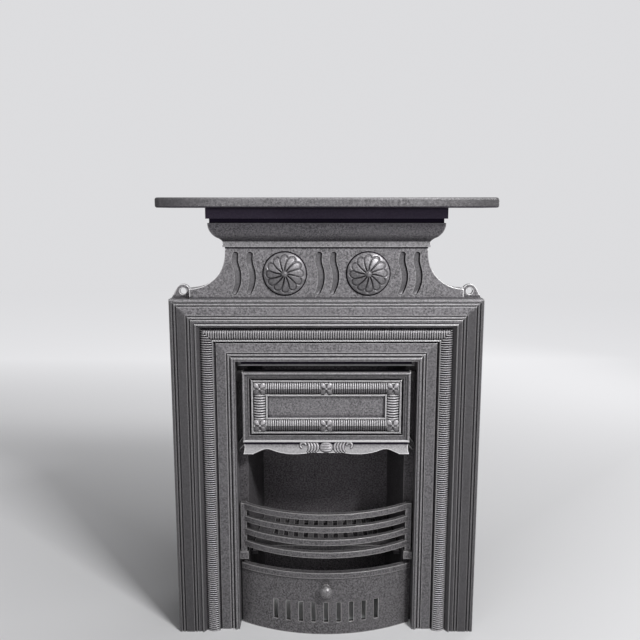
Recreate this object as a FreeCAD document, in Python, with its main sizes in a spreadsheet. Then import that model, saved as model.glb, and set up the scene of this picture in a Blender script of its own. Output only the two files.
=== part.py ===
import FreeCAD, Part
import math
import operator
import os

import Sketcher

# A cast iron combination fireplace: a moulded surround with frieze and shelf, and the
# fire opening behind it with hood, cheeks, fire back, throat, damper, bars, grate and ash cover.
# +X is to the right, +Y goes into the chimney, +Z is up. Millimetres and degrees.

# Driving dimensions, one for each size that can be set by itself.
SIZES = {
    "body_width": 610,
    "body_height": 700,
    "return_depth": 45,
    "iron": 8,
    "arris": 1.5,
    "outer_fillet": 5.5,
    "quirk_width": 3.5,
    "quirk_depth": 2.5,
    "quirk_gap": 2.5,
    "outer_band": 16.5,
    "slope_width": 7,
    "slope_depth": 1.8,
    "crest_width": 4,
    "crest_rise": 1.8,
    "drop_width": 7,
    "reed_depth": 9,
    "reed_width": 21,
    "reed_rise": 6,
    "rim_width": 4.5,
    "rim_rise": 5,
    "inner_band": 19,
    "bead_width": 5,
    "bead_rise": 3,
    "inner_fillet": 3,
    "frieze_inset": 110,
    "frieze_height": 100,
    "frieze_setback": 10,
    "shoulder_radius": 71,
    "shoulder_foot": 19,
    "cornice_fillet_height": 11,
    "cornice_fillet_reach": 4,
    "ogee_height": 35,
    "ogee_reach": 28,
    "neck_height": 8,
    "neck_reach": 25,
    "lug_inset": 22,
    "lug_height": 12,
    "lug_hole_radius": 6.5,
    "lug_boss_radius": 14,
    "lug_thickness": 10,
    "flute_height": 84,
    "flute_width": 12.5,
    "flute_sway": 4.5,
    "flute_depth": 5,
    "flute_pitch": 28,
    "flute_inset": 34,
    "rosette_radius": 42,
    "rosette_rise": 11,
    "rosette_boss": 6.5,
    "rosette_height": 49,
    "fascia_height": 20,
    "fascia_reach": 31,
    "shelf_overhang": 2,
    "shelf_depth": 125,
    "shelf_thickness": 18,
    "shelf_corner": 10,
    "shelf_rounding": 4,
    "bolt_radius": 4,
    "bolt_head_radius": 7.5,
    "bolt_head_height": 5.5,
    "bolt_clearance": 0.25,
    "bolt_tail": 3,
    "boss_radius": 11,
    "screw_radius": 2.5,
    "screw_head_radius": 5,
    "screw_head_height": 3.5,
    "frieze_bolt_inset": 44,
    "frieze_bolt_spacing": 160,
    "shelf_bolt_inset": 43,
    "shelf_bolt_spacing": 120,
    "hood_side_gap": 13.5,
    "hood_height": 144,
    "hood_drop": 22,
    "hood_setback": 8,
    "hood_depth": 26,
    "hood_wall": 7,
    "hood_ridge": 5,
    "hood_slope_width": 8.5,
    "hood_cove": 4,
    "hood_fillet": 3,
    "hood_groove": 2,
    "hood_reed_depth": 10.5,
    "hood_reed_width": 23,
    "hood_reed_rise": 6,
    "hood_panel_depth": 12.5,
    "hood_rim": 2.5,
    "hood_slope": 4,
    "hood_block_rise": 6.4,
    "lintel_height": 15,
    "lintel_thickness": 8,
    "skirt_height": 26,
    "skirt_arch": 10,
    "skirt_thickness": 7,
    "skirt_flare": 18,
    "peg_radius": 3.5,
    "peg_drop": 5.5,
    "peg_setback": 6,
    "peg_fit": 0.05,
    "peg_seat": 12,
    "peg_collar_radius": 5,
    "peg_collar_width": 2.4,
    "peg_end_gap": 1.5,
    "hook_width": 10.5,
    "hook_half_depth": 8,
    "hook_below": 15,
    "hook_above": 4,
    "rest_thickness": 10,
    "rest_foot": 16,
    "rest_rise": 36,
    "rest_lap": 10,
    "firebox_depth": 180,
    "cheek_reveal": 19.5,
    "cheek_splay": 16,
    "flange_inset": 55,
    "rear_flange": 33,
    "back_thickness": 12,
    "frame_bolt_inset": 78,
    "throat_bolt_reach": 90,
    "throat_flange": 68,
    "flue_width": 190,
    "flue_front": 40,
    "flue_depth": 85,
    "flap_lap": 8,
    "flap_thickness": 6,
    "rod_radius": 3,
    "rod_setback": 8,
    "rod_height": 9,
    "rod_fit": 0.05,
    "rod_head_radius": 5,
    "rod_head_height": 3,
    "knuckle_radius": 6.5,
    "knuckle_inner": 20,
    "knuckle_outer": 50,
    "hinge_lug_gap": 2,
    "hinge_lug_width": 8,
    "grate_height": 150,
    "grate_thickness": 12,
    "grate_gap": 4,
    "grate_border": 16,
    "grate_slot": 10,
    "grate_bar": 12,
    "ledge_width": 14,
    "ledge_front": 16,
    "socket_width": 18,
    "socket_depth": 20,
    "socket_height": 16,
    "socket_screw_shift": 4.5,
    "bar_height": 12,
    "bar_thickness": 10,
    "bar_bow": 55,
    "bar_pitch": 27,
    "bar_foot": 12,
    "bar_post": 12,
    "bar_peg_radius": 4,
    "ash_cover_drop": 12,
    "ash_cover_gap": 4,
    "ash_cover_thickness": 8,
    "ash_cover_seat": 0.3,
    "ash_cover_bow": 45,
    "ash_cover_roll": 12,
    "ash_cover_roll_reach": 4,
    "ash_slot_width": 9,
    "ash_slot_height": 44,
    "ash_slot_pitch": 26,
    "knob_radius": 13,
    "knob_length": 26,
    "knob_stem_radius": 4,
    "knob_neck_radius": 6.5,
    "knob_foot_radius": 8,
    "knob_height": 104,
}

document = FreeCAD.newDocument("fireplace_surround")
sheet = document.addObject("Spreadsheet::Sheet", "sizes")
ARITHMETIC = {"+": operator.add, "-": operator.sub, "*": operator.mul, "/": operator.truediv}


class Size:
    """A number together with the expression that works it out from the sheet."""

    def __init__(self, value, text):
        self.value = value
        self.text = text

    def __add__(self, other):
        return combine(self, "+", other)

    def __radd__(self, other):
        return combine(other, "+", self)

    def __sub__(self, other):
        return combine(self, "-", other)

    def __rsub__(self, other):
        return combine(other, "-", self)

    def __mul__(self, other):
        return combine(self, "*", other)

    def __rmul__(self, other):
        return combine(other, "*", self)

    def __truediv__(self, other):
        return combine(self, "/", other)

    def __neg__(self):
        return combine(0, "-", self)


def as_size(number):
    if isinstance(number, Size):
        return number
    return Size(float(number), "(%g)" % number)


def combine(left, sign, right):
    left = as_size(left)
    right = as_size(right)
    value = ARITHMETIC[sign](left.value, right.value)
    return Size(value, "(%s %s %s)" % (left.text, sign, right.text))


def square_root(number):
    return Size(math.sqrt(number.value), "sqrt(%s)" % number.text)


class Sheet:
    """The sheet's sizes by name."""


size = Sheet()
for row, (alias, number) in enumerate(SIZES.items(), start=1):
    sheet.set("A%d" % row, alias)
    sheet.set("B%d" % row, str(number))
    sheet.setAlias("B%d" % row, alias)
    setattr(size, alias, Size(float(number), "sizes.%s" % alias))
document.recompute()


class Through:
    """A point that an arc passes through on its way from one corner to the next."""

    def __init__(self, across, up):
        self.place = (across, up)


class Round:
    """A full circle."""

    def __init__(self, across, up, radius):
        self.place = (across, up)
        self.radius = as_size(radius)


def vector(place):
    return FreeCAD.Vector(as_size(place[0]).value, as_size(place[1]).value, 0)


def pin_point(sketch, geometry, end, place):
    for kind, number in zip(("DistanceX", "DistanceY"), place):
        number = as_size(number)
        index = sketch.addConstraint(Sketcher.Constraint(kind, -1, 1, geometry, end, number.value))
        sketch.setExpression("Constraints[%d]" % index, number.text)


def draw(sketch, outline, closed=True):
    """Draw lines and arcs through an outline's corners, each corner tied to the sheet."""
    if isinstance(outline, Round):
        geometry = sketch.addGeometry(Part.Circle(vector(outline.place), FreeCAD.Vector(0, 0, 1),
                                                  outline.radius.value))
        pin_point(sketch, geometry, 3, outline.place)
        index = sketch.addConstraint(Sketcher.Constraint("Radius", geometry, outline.radius.value))
        sketch.setExpression("Constraints[%d]" % index, outline.radius.text)
        return
    count = len(outline)
    starts = [i for i in range(count) if not isinstance(outline[i], Through)]
    edges = []
    for position in starts if closed else starts[:-1]:
        start = outline[position]
        following = outline[(position + 1) % count]
        if isinstance(following, Through):
            finish = outline[(position + 2) % count]
            curve = Part.Arc(vector(start), vector(following.place), vector(finish))
            geometry = sketch.addGeometry(curve)
            middle = sketch.addGeometry(Part.Point(vector(following.place)), True)
            pin_point(sketch, middle, 1, following.place)
            sketch.addConstraint(Sketcher.Constraint("PointOnObject", middle, 1, geometry))
            turned = sketch.getPoint(geometry, 1).distanceToPoint(vector(start)) > 1e-6
        else:
            geometry = sketch.addGeometry(Part.LineSegment(vector(start), vector(following)))
            turned = False
        edges.append((geometry, (2, 1) if turned else (1, 2), start))
    for (geometry, ends, start), (other, other_ends, _) in zip(edges, edges[1:] + edges[:1]):
        pin_point(sketch, geometry, ends[0], start)
        if closed or other != edges[0][0]:
            sketch.addConstraint(Sketcher.Constraint("Coincident", geometry, ends[1], other, other_ends[0]))
    if not closed:
        pin_point(sketch, edges[-1][0], edges[-1][1][1], outline[-1])


def make_body(label):
    body = document.addObject("PartDesign::Body", label)
    body.Label = label
    return body


def make_sketch(body, plane, level, outlines, name, closed=True):
    """A sketch on one of the body's planes, moved to a level along that plane's axis."""
    sketch = body.newObject("Sketcher::SketchObject", name)
    support = next(feature for feature in body.Origin.OriginFeatures if feature.Role == plane)
    sketch.AttachmentSupport = [(support, "")]
    sketch.MapMode = "FlatFace"
    level = as_size(level)
    offset = -level if plane == "XZ_Plane" else level
    sketch.setExpression("AttachmentOffset.Base.z", offset.text)
    for outline in outlines:
        draw(sketch, outline, closed)
    return sketch


def pad(body, name, plane, start, finish, outlines):
    """Thicken outlines from one level to a higher one along the plane's axis."""
    level = finish if plane == "XZ_Plane" else start
    feature = body.newObject("PartDesign::Pad", name)
    feature.Profile = make_sketch(body, plane, level, outlines, name + "_outline")
    feature.setExpression("Length", (as_size(finish) - start).text)
    return feature


def pocket(body, name, plane, start, finish, outlines):
    """Cut outlines away from one level to a higher one along the plane's axis."""
    level = start if plane == "XZ_Plane" else finish
    feature = body.newObject("PartDesign::Pocket", name)
    feature.Profile = make_sketch(body, plane, level, outlines, name + "_outline")
    feature.setExpression("Length", (as_size(finish) - start).text)
    return feature


def moulding(body, name, profile_plane, level, profile, path_plane, path_level, path):
    """Run a profile along a path with mitred corners."""
    feature = body.newObject("PartDesign::AdditivePipe", name)
    feature.Profile = make_sketch(body, profile_plane, level, [profile], name + "_profile")
    spine = make_sketch(body, path_plane, path_level, [path], name + "_path", closed=False)
    feature.Spine = (spine, ["Edge%d" % (i + 1) for i in range(len(path) - 1)])
    feature.Transition = "Right corner"
    return feature


def rectangle(left, right, bottom, top):
    return [(left, bottom), (right, bottom), (right, top), (left, top)]


def place(feature, across, back, up, turn=None):
    for axis, number in zip("xyz", (across, back, up)):
        feature.setExpression("Placement.Base." + axis, as_size(number).text)
    if turn:
        feature.Placement.Rotation = FreeCAD.Rotation(FreeCAD.Vector(0, 0, 1), FreeCAD.Vector(*turn))


# Directions that fasteners and rods run along.
ALONG_X = (1, 0, 0)
ALONG_MINUS_X = (-1, 0, 0)
ALONG_MINUS_Y = (0, -1, 0)
UPWARD = (0, 0, 1)


def rod(name, radius, length, spot, turn):
    feature = document.addObject("Part::Cylinder", name)
    feature.setExpression("Radius", as_size(radius).text)
    feature.setExpression("Height", as_size(length).text)
    place(feature, *spot, turn)
    return feature


def prism(name, sides, radius, height, spot, turn):
    feature = document.addObject("Part::Prism", name)
    feature.Polygon = sides
    feature.setExpression("Circumradius", as_size(radius).text)
    feature.setExpression("Height", as_size(height).text)
    place(feature, *spot, turn)
    return feature


def fuse(label, pieces):
    feature = document.addObject("Part::MultiFuse", label)
    feature.Shapes = pieces
    feature.Label = label
    return feature


def group(label, pieces):
    feature = document.addObject("Part::Compound", label)
    feature.Links = pieces
    feature.Label = label
    return feature


def moved(spot, turn, distance):
    """The spot that lies a distance further along a fastener's direction."""
    return tuple(start + distance * amount if amount else start for start, amount in zip(spot, turn))


def bolts(label, spots, turn, length):
    """Hexagon bolts whose heads sit behind their spots and whose shanks run along the turn."""
    made = []
    for number, spot in enumerate(spots, start=1):
        name = "%s_%d" % (label, number)
        head_spot = moved(spot, turn, -size.bolt_head_height)
        head = prism(name + "_head", 6, size.bolt_head_radius, size.bolt_head_height, head_spot, turn)
        shank = rod(name + "_shank", size.bolt_radius, size.bolt_head_height + length, head_spot, turn)
        made.append(fuse(name, [head, shank]))
    return group(label, made)


def nuts(label, spots, turn):
    """Square nuts that start at their spots, bored for the bolts."""
    made = []
    for number, spot in enumerate(spots, start=1):
        name = "%s_%d" % (label, number)
        block = prism(name + "_block", 4, size.bolt_head_radius * 1.2, size.bolt_head_height, spot, turn)
        bore = rod(name + "_bore", bolt_hole, size.bolt_head_height, spot, turn)
        cut = document.addObject("Part::Cut", name)
        cut.Base = block
        cut.Tool = bore
        made.append(cut)
    return group(label, made)


def screws(label, spots, turns, length):
    """Round-headed screws."""
    made = []
    for number, (spot, turn) in enumerate(zip(spots, turns), start=1):
        name = "%s_%d" % (label, number)
        head_spot = moved(spot, turn, -size.screw_head_height)
        head = rod(name + "_head", size.screw_head_radius, size.screw_head_height, head_spot, turn)
        shank = rod(name + "_shank", size.screw_radius, size.screw_head_height + length, head_spot, turn)
        made.append(fuse(name, [head, shank]))
    return group(label, made)


# Levels and planes that several pieces share.
SIDES = (("left", -1), ("right", 1))
bolt_hole = size.bolt_radius + size.bolt_clearance
screw_hole = size.screw_radius + size.bolt_clearance
half_width = size.body_width / 2
rear_reach = size.firebox_depth + size.back_thickness + size.bolt_head_height
wall_y = (size.shelf_depth - rear_reach) / 2
face_y = wall_y - size.return_depth

# Positions across the frame's moulding, measured inwards from its outer edge.
quirk_pair = size.quirk_width * 2 + size.quirk_gap
band_start = size.outer_fillet + quirk_pair
crest_start = band_start + size.outer_band + quirk_pair + size.slope_width
drop_start = crest_start + size.crest_width
reed_start = drop_start + size.drop_width
reed_end = reed_start + size.reed_width
rim_end = reed_end + size.rim_width
inner_start = rim_end + size.quirk_width
bead_start = inner_start + size.inner_band + quirk_pair
bead_end = bead_start + size.bead_width
jamb_width = bead_end + size.inner_fillet
opening_half = half_width - jamb_width
opening_top = size.body_height - jamb_width

# Front frame: jambs and head in one hollow casting, with mitred mouldings.
front_frame = make_body("front_frame")


def quirk(start, depth):
    """A small V-shaped groove in the moulding."""
    return [(start, depth), (start + size.quirk_width * 0.4, depth + size.quirk_depth),
            (start + size.quirk_width, depth)]


def quirks(start, depth):
    return quirk(start, depth) + quirk(start + size.quirk_width + size.quirk_gap, depth)


reed_back = size.reed_depth + size.iron
section = [(0, size.return_depth), (0, size.arris), (size.arris, 0)]
section += quirks(size.outer_fillet, 0)
section += quirks(band_start + size.outer_band, 0)
section += [(crest_start, size.slope_depth), (crest_start + size.arris / 3, size.slope_depth / 3)]
section += [Through(crest_start + size.crest_width / 2, -size.crest_rise), (drop_start, 0)]
section += [(reed_start, size.reed_depth)]
section += [Through(reed_start + size.reed_width / 2, size.reed_depth - size.reed_rise),
            (reed_end, size.reed_depth)]
rim_shoulder = size.reed_depth - size.rim_rise * 0.7
section += [(reed_end + size.arris / 2, rim_shoulder)]
section += [Through(reed_end + size.rim_width / 2, size.reed_depth - size.rim_rise)]
section += [(rim_end - size.arris / 2, rim_shoulder)]
section += quirk(rim_end, size.reed_depth)
section += quirks(inner_start + size.inner_band, size.reed_depth)
section += [Through(bead_start + size.bead_width / 2, size.reed_depth - size.bead_rise),
            (bead_end, size.reed_depth)]
section += [(jamb_width, size.reed_depth), (jamb_width, size.return_depth)]
section += [(jamb_width - size.iron, size.return_depth), (jamb_width - size.iron, reed_back)]
section += [(reed_start, reed_back), (crest_start, size.iron), (size.iron, size.iron)]
section += [(size.iron, size.return_depth)]


def set_in(outline, across, depth):
    """Move a profile from its own edge and depth to the object's frame."""
    shifted = []
    for point in outline:
        if isinstance(point, Through):
            shifted.append(Through(across + point.place[0], depth + point.place[1]))
        else:
            shifted.append((across + point[0], depth + point[1]))
    return shifted


frame_path = [(-half_width, 0), (-half_width, size.body_height), (half_width, size.body_height),
              (half_width, 0)]
moulding(front_frame, "frame_moulding", "XY_Plane", 0, set_in(section, -half_width, face_y),
         "XZ_Plane", face_y, frame_path)

# A lintel behind the head closes the gap over the hood.
pad(front_frame, "lintel", "XZ_Plane", wall_y - size.lintel_thickness, wall_y,
    [rectangle(-opening_half, opening_half, opening_top - size.lintel_height, opening_top + size.iron / 2)])

# Bosses on the frame's back take the bolts of the cheeks and of the throat plate.
jamb_bolt_x = half_width - size.frame_bolt_inset
head_bolt_z = size.body_height - size.frame_bolt_inset
jamb_bolt_levels = [opening_top * share for share in (0.1, 0.5, 0.9)]
cheek_bolt_spots = [(jamb_bolt_x * side, level) for _, side in SIDES for level in jamb_bolt_levels]
throat_bolt_spots = [(size.throat_bolt_reach * side, head_bolt_z) for _, side in SIDES]
frame_bolt_spots = cheek_bolt_spots + throat_bolt_spots
boss_start = face_y + size.reed_depth + size.iron / 2
pad(front_frame, "bolt_bosses", "XZ_Plane", boss_start, wall_y,
    [Round(across, up, size.boss_radius) for across, up in frame_bolt_spots])
boss_bolt_depth = size.return_depth - reed_back
pocket(front_frame, "boss_bores", "XZ_Plane", wall_y - boss_bolt_depth, wall_y,
       [Round(across, up, bolt_hole) for across, up in frame_bolt_spots])
frieze_y = face_y + size.frieze_setback
bolt_line_y = (frieze_y + size.iron + wall_y) / 2
frieze_half = half_width - size.frieze_inset
foot_half = frieze_half + size.shoulder_radius
frieze_bolt_reach = (foot_half - size.frieze_bolt_inset, size.frieze_bolt_spacing / 2)
frieze_bolt_x = [reach * side for _, side in SIDES for reach in frieze_bolt_reach]
pocket(front_frame, "frieze_bolt_holes", "XY_Plane", size.body_height - size.iron, size.body_height,
       [Round(across, bolt_line_y, bolt_hole) for across in frieze_bolt_x])

# Frieze panel: a hollow casting with concave shoulders, cornice, lugs, flutes and rosettes.
frieze_panel = make_body("frieze_panel")
frieze_top = size.body_height + size.frieze_height
cornice_top = frieze_top + size.cornice_fillet_height + size.ogee_height + size.neck_height
shoulder_z = size.body_height + size.shoulder_foot + size.shoulder_radius
diagonal = 0.7071


def frieze_outline(inset):
    """The panel's outline with concave shoulders, drawn in by an inset."""
    radius = size.shoulder_radius + inset
    foot_z = size.body_height + size.shoulder_foot - inset
    right = [(foot_half - inset, foot_z), Through(foot_half - radius * diagonal,
                                                  shoulder_z - radius * diagonal),
             (frieze_half - inset, shoulder_z), (frieze_half - inset, cornice_top - inset)]
    left = [(-(frieze_half - inset), cornice_top - inset), (-(frieze_half - inset), shoulder_z),
            Through(radius * diagonal - foot_half, shoulder_z - radius * diagonal),
            (inset - foot_half, foot_z)]
    bottom = size.body_height + inset
    return [(foot_half - inset, bottom)] + right + left + [(inset - foot_half, bottom)]


pad(frieze_panel, "panel", "XZ_Plane", frieze_y, wall_y, [frieze_outline(as_size(0))])
fillet_reach = size.cornice_fillet_reach
ogee_foot = frieze_top + size.cornice_fillet_height
ogee_top = ogee_foot + size.ogee_height
root = -size.iron / 2
cornice = [(root, frieze_top), (fillet_reach, frieze_top), (fillet_reach, ogee_foot),
           Through(size.ogee_reach * 0.3, ogee_foot + size.ogee_height * 0.13),
           (size.ogee_reach * 0.5, ogee_foot + size.ogee_height * 0.22),
           Through(size.ogee_reach * 0.84, ogee_foot + size.ogee_height * 0.5),
           (size.ogee_reach, ogee_top), (size.neck_reach, ogee_top), (size.neck_reach, cornice_top),
           (root, cornice_top)]


def outwards(outline, edge):
    """Turn reaches beyond the left edge of the panel into places across it."""
    turned = []
    for point in outline:
        if isinstance(point, Through):
            turned.append(Through(edge - point.place[0], point.place[1]))
        else:
            turned.append((edge - point[0], point[1]))
    return turned


cornice_path = [(-frieze_half, wall_y), (-frieze_half, frieze_y), (frieze_half, frieze_y),
                (frieze_half, wall_y)]
moulding(frieze_panel, "cornice", "XZ_Plane", wall_y, outwards(cornice, -frieze_half),
         "XY_Plane", frieze_top, cornice_path)
pocket(frieze_panel, "hollow", "XZ_Plane", frieze_y + size.iron, wall_y, [frieze_outline(size.iron)])
shelf_bolt_reach = (frieze_half - size.shelf_bolt_inset, size.shelf_bolt_spacing / 2)
shelf_bolt_x = [reach * side for _, side in SIDES for reach in shelf_bolt_reach]
pocket(frieze_panel, "shelf_bolt_holes", "XY_Plane", cornice_top - size.iron, cornice_top,
       [Round(across, bolt_line_y, bolt_hole) for across in shelf_bolt_x])
pocket(frieze_panel, "frame_bolt_holes", "XY_Plane", size.body_height, size.body_height + size.iron,
       [Round(across, bolt_line_y, bolt_hole) for across in frieze_bolt_x])
lug_x = half_width - size.lug_inset
lug_z = size.body_height + size.lug_height
lug_shoulder_z = lug_z + size.lug_boss_radius / 2
lugs = []
lug_holes = []
for _, side in SIDES:
    boss_half = size.lug_boss_radius * 0.866
    lugs.append([((foot_half - size.iron) * side, size.body_height), (half_width * side, size.body_height),
                 ((lug_x + boss_half) * side, lug_shoulder_z),
                 Through(lug_x * side, lug_z + size.lug_boss_radius),
                 ((lug_x - boss_half) * side, lug_shoulder_z),
                 ((foot_half - size.iron) * side, size.body_height + size.shoulder_foot - size.iron / 4)])
    lug_holes.append(Round(lug_x * side, lug_z, size.lug_hole_radius))
pad(frieze_panel, "lugs", "XZ_Plane", wall_y - size.lug_thickness, wall_y, lugs)
pocket(frieze_panel, "lug_holes", "XZ_Plane", wall_y - size.lug_thickness, wall_y, lug_holes)
frieze_middle = size.body_height + size.rosette_height


def flute(middle):
    """Outline of an S-shaped flute."""
    high = frieze_middle + size.flute_height / 2
    fall = size.flute_height
    sway = size.flute_sway
    half_flute = size.flute_width / 2
    return [(middle - half_flute * 0.9, high - fall * 0.05),
            Through(middle - half_flute - sway * 0.3, high - fall * 0.2),
            (middle - half_flute + sway * 0.5, high - fall * 0.38),
            Through(middle - half_flute + sway, high - fall * 0.6),
            (middle - half_flute * 0.9 - sway * 0.6, high - fall * 0.95),
            Through(middle - sway * 0.6, high - fall),
            (middle + half_flute * 0.8 - sway * 0.6, high - fall * 0.95),
            Through(middle + half_flute + sway, high - fall * 0.58),
            (middle + half_flute + sway * 0.4, high - fall * 0.36),
            Through(middle + half_flute - sway * 0.3, high - fall * 0.2),
            (middle + half_flute * 0.9, high - fall * 0.05),
            Through(middle, high)]


flute_reach = frieze_half - size.flute_inset
flute_spots = []
for pair in (-1, 0, 1):
    for half in (-0.5, 0.5):
        flute_spots.append(flute_reach * pair + size.flute_pitch * half)
pocket(frieze_panel, "flutes", "XZ_Plane", frieze_y, frieze_y + size.flute_depth,
       [flute(middle) for middle in flute_spots])


def cap_radius(reach, rise):
    """Radius of the sphere whose cap has this reach and this rise."""
    return (reach * reach / rise + rise) / 2


def cap_depth(sphere, reach):
    """How far a sphere's face has fallen from its tip at a reach from its axis."""
    return sphere - square_root(sphere * sphere - reach * reach)


rosette_tip = frieze_y - size.rosette_rise
dome = cap_radius(size.rosette_radius, size.rosette_rise)
dome_middle = size.rosette_radius * 0.6
for word, side in SIDES:
    centre = flute_reach / 2 * side
    rosette = [(centre, frieze_y + size.iron / 2), (centre + size.rosette_radius, frieze_y + size.iron / 2),
               (centre + size.rosette_radius, frieze_y),
               Through(centre + dome_middle, rosette_tip + cap_depth(dome, dome_middle)),
               (centre, rosette_tip)]
    profile = make_sketch(frieze_panel, "XY_Plane", frieze_middle, [rosette], "rosette_%s_profile" % word)
    spindle = profile.addGeometry(Part.LineSegment(vector(rosette[0]), vector(rosette[-1])), True)
    pin_point(profile, spindle, 1, rosette[0])
    pin_point(profile, spindle, 2, rosette[-1])
    feature = frieze_panel.newObject("PartDesign::Revolution", "rosette_" + word)
    feature.Profile = profile
    feature.ReferenceAxis = (profile, ["Axis0"])
    feature.Angle = 360
    ball = frieze_panel.newObject("PartDesign::AdditiveSphere", "rosette_ball_" + word)
    ball.setExpression("Radius", size.rosette_boss.text)
    place(ball, centre, rosette_tip, frieze_middle)

# Mantel shelf: a plate with rounded edges on a fascia and bolt bosses.
mantel_shelf = make_body("mantel_shelf")
shelf_bottom = cornice_top + size.fascia_height
shelf_top = shelf_bottom + size.shelf_thickness
shelf_half = half_width + size.shelf_overhang
shelf_front = wall_y - size.shelf_depth
corner = size.shelf_corner
corner_in = corner * (1 - diagonal)
pad(mantel_shelf, "plate", "XY_Plane", shelf_bottom, shelf_top,
    [[(-shelf_half, wall_y), (-shelf_half, shelf_front + corner),
      Through(corner_in - shelf_half, shelf_front + corner_in), (corner - shelf_half, shelf_front),
      (shelf_half - corner, shelf_front), Through(shelf_half - corner_in, shelf_front + corner_in),
      (shelf_half, shelf_front + corner), (shelf_half, wall_y)]])
document.recompute()
plate = mantel_shelf.Tip
round_edges = []
for number, edge in enumerate(plate.Shape.Edges, start=1):
    middle = edge.CenterOfMass
    level_edge = edge.BoundBox.ZLength < size.arris.value
    if level_edge and middle.y < wall_y.value - size.arris.value:
        round_edges.append("Edge%d" % number)
rounding = mantel_shelf.newObject("PartDesign::Fillet", "rounded_edges")
rounding.Base = (plate, round_edges)
rounding.setExpression("Radius", size.shelf_rounding.text)
fascia_half = frieze_half + size.fascia_reach
fascia_front = frieze_y - size.fascia_reach
pad(mantel_shelf, "fascia", "XY_Plane", cornice_top, shelf_bottom,
    [[(-fascia_half, wall_y), (-fascia_half, fascia_front), (fascia_half, fascia_front),
      (fascia_half, wall_y),
      (fascia_half - size.iron, wall_y), (fascia_half - size.iron, fascia_front + size.iron),
      (size.iron - fascia_half, fascia_front + size.iron), (size.iron - fascia_half, wall_y)]])
pad(mantel_shelf, "bosses", "XY_Plane", cornice_top, shelf_bottom,
    [Round(across, bolt_line_y, size.boss_radius) for across in shelf_bolt_x])
shelf_bore = size.fascia_height - size.bolt_tail
pocket(mantel_shelf, "boss_bores", "XY_Plane", cornice_top, cornice_top + shelf_bore,
       [Round(across, bolt_line_y, bolt_hole) for across in shelf_bolt_x])

# Bolts that hold shelf, frieze panel and frame together.
shelf_bolts = bolts("shelf_bolts", [(across, bolt_line_y, cornice_top - size.iron)
                                    for across in shelf_bolt_x],
                    UPWARD, size.iron + shelf_bore - size.bolt_tail)
frieze_bolts = bolts("frieze_bolts", [(across, bolt_line_y, size.body_height - size.iron)
                                      for across in frieze_bolt_x],
                     UPWARD, size.iron * 2 + size.bolt_head_height + size.bolt_tail)
frieze_nuts = nuts("frieze_nuts", [(across, bolt_line_y, size.body_height + size.iron)
                                   for across in frieze_bolt_x],
                   UPWARD)

# Smoke hood: a moulded tray with a plain panel, flower blocks and a scrolled skirt.
smoke_hood = make_body("smoke_hood")
hood_half = opening_half - size.hood_side_gap
hood_top = opening_top - size.hood_drop
hood_bottom = hood_top - size.hood_height
hood_middle = (hood_top + hood_bottom) / 2
hood_y = face_y + size.hood_setback
hood_back = hood_y + size.hood_depth
step_depth = size.hood_reed_depth / 3
cove_start = size.hood_ridge + size.hood_slope_width
slope_middle = size.hood_ridge + size.hood_slope_width * 0.65
fillet_start = cove_start + size.hood_cove
groove_start = fillet_start + size.hood_fillet
hood_reed_start = groove_start + size.hood_groove
hood_reed_end = hood_reed_start + size.hood_reed_width
hood_rim_start = hood_reed_end + size.hood_rim / 2
hood_rim_end = hood_rim_start + size.hood_rim
hood_border = hood_rim_end + size.hood_slope
panel_back = size.hood_panel_depth + size.hood_wall
hood_section = [(0, size.hood_depth), (0, step_depth / 2), Through(size.hood_ridge / 2, -step_depth / 4),
                (size.hood_ridge, step_depth * 0.6), (size.hood_ridge + size.arris, step_depth * 1.1),
                (slope_middle - size.arris / 2, step_depth * 1.2), (slope_middle, step_depth * 1.7),
                (slope_middle + size.arris / 2, step_depth * 1.2), (cove_start, step_depth * 1.5),
                (cove_start + size.hood_cove * 0.4, size.hood_reed_depth),
                (fillet_start, step_depth * 1.4), (groove_start, step_depth * 1.4),
                (groove_start + size.hood_groove / 2, size.hood_reed_depth),
                (hood_reed_start, size.hood_reed_depth),
                Through(hood_reed_start + size.hood_reed_width / 2,
                        size.hood_reed_depth - size.hood_reed_rise),
                (hood_reed_end, size.hood_reed_depth), (hood_rim_start, step_depth * 1.5),
                (hood_rim_end, step_depth * 1.5), (hood_rim_end + size.arris, size.hood_panel_depth),
                (hood_border, size.hood_panel_depth), (hood_border, panel_back),
                (hood_reed_start, panel_back),
                (size.hood_wall, step_depth * 2 + size.hood_wall), (size.hood_wall, size.hood_depth)]
hood_path = [(-hood_half, hood_middle), (-hood_half, hood_top), (hood_half, hood_top),
             (hood_half, hood_bottom),
             (-hood_half, hood_bottom), (-hood_half, hood_middle)]
moulding(smoke_hood, "hood_border", "XY_Plane", hood_middle, set_in(hood_section, -hood_half, hood_y),
         "XZ_Plane", hood_y, hood_path)
panel_half = hood_half - hood_border
pad(smoke_hood, "panel", "XZ_Plane", hood_y + size.hood_panel_depth, hood_y + panel_back,
    [rectangle(-panel_half - size.hood_slope, panel_half + size.hood_slope,
               hood_bottom + hood_border - size.hood_slope, hood_top - hood_border + size.hood_slope)])
block_half = size.hood_reed_width / 2
block_x = hood_half - hood_reed_start - block_half
block_low = hood_bottom + hood_reed_start + block_half
block_high = hood_top - hood_reed_start - block_half
blocks = [rectangle(block_x * column - block_half, block_x * column + block_half, level - block_half,
                    level + block_half)
          for column in (-1, 0, 1) for level in (block_low, block_high)]
block_face = hood_y + size.hood_reed_depth - size.hood_block_rise
pad(smoke_hood, "flower_blocks", "XZ_Plane", block_face, hood_y + size.hood_panel_depth, blocks)
drop = -size.skirt_height
arch = size.skirt_arch - size.skirt_height
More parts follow.
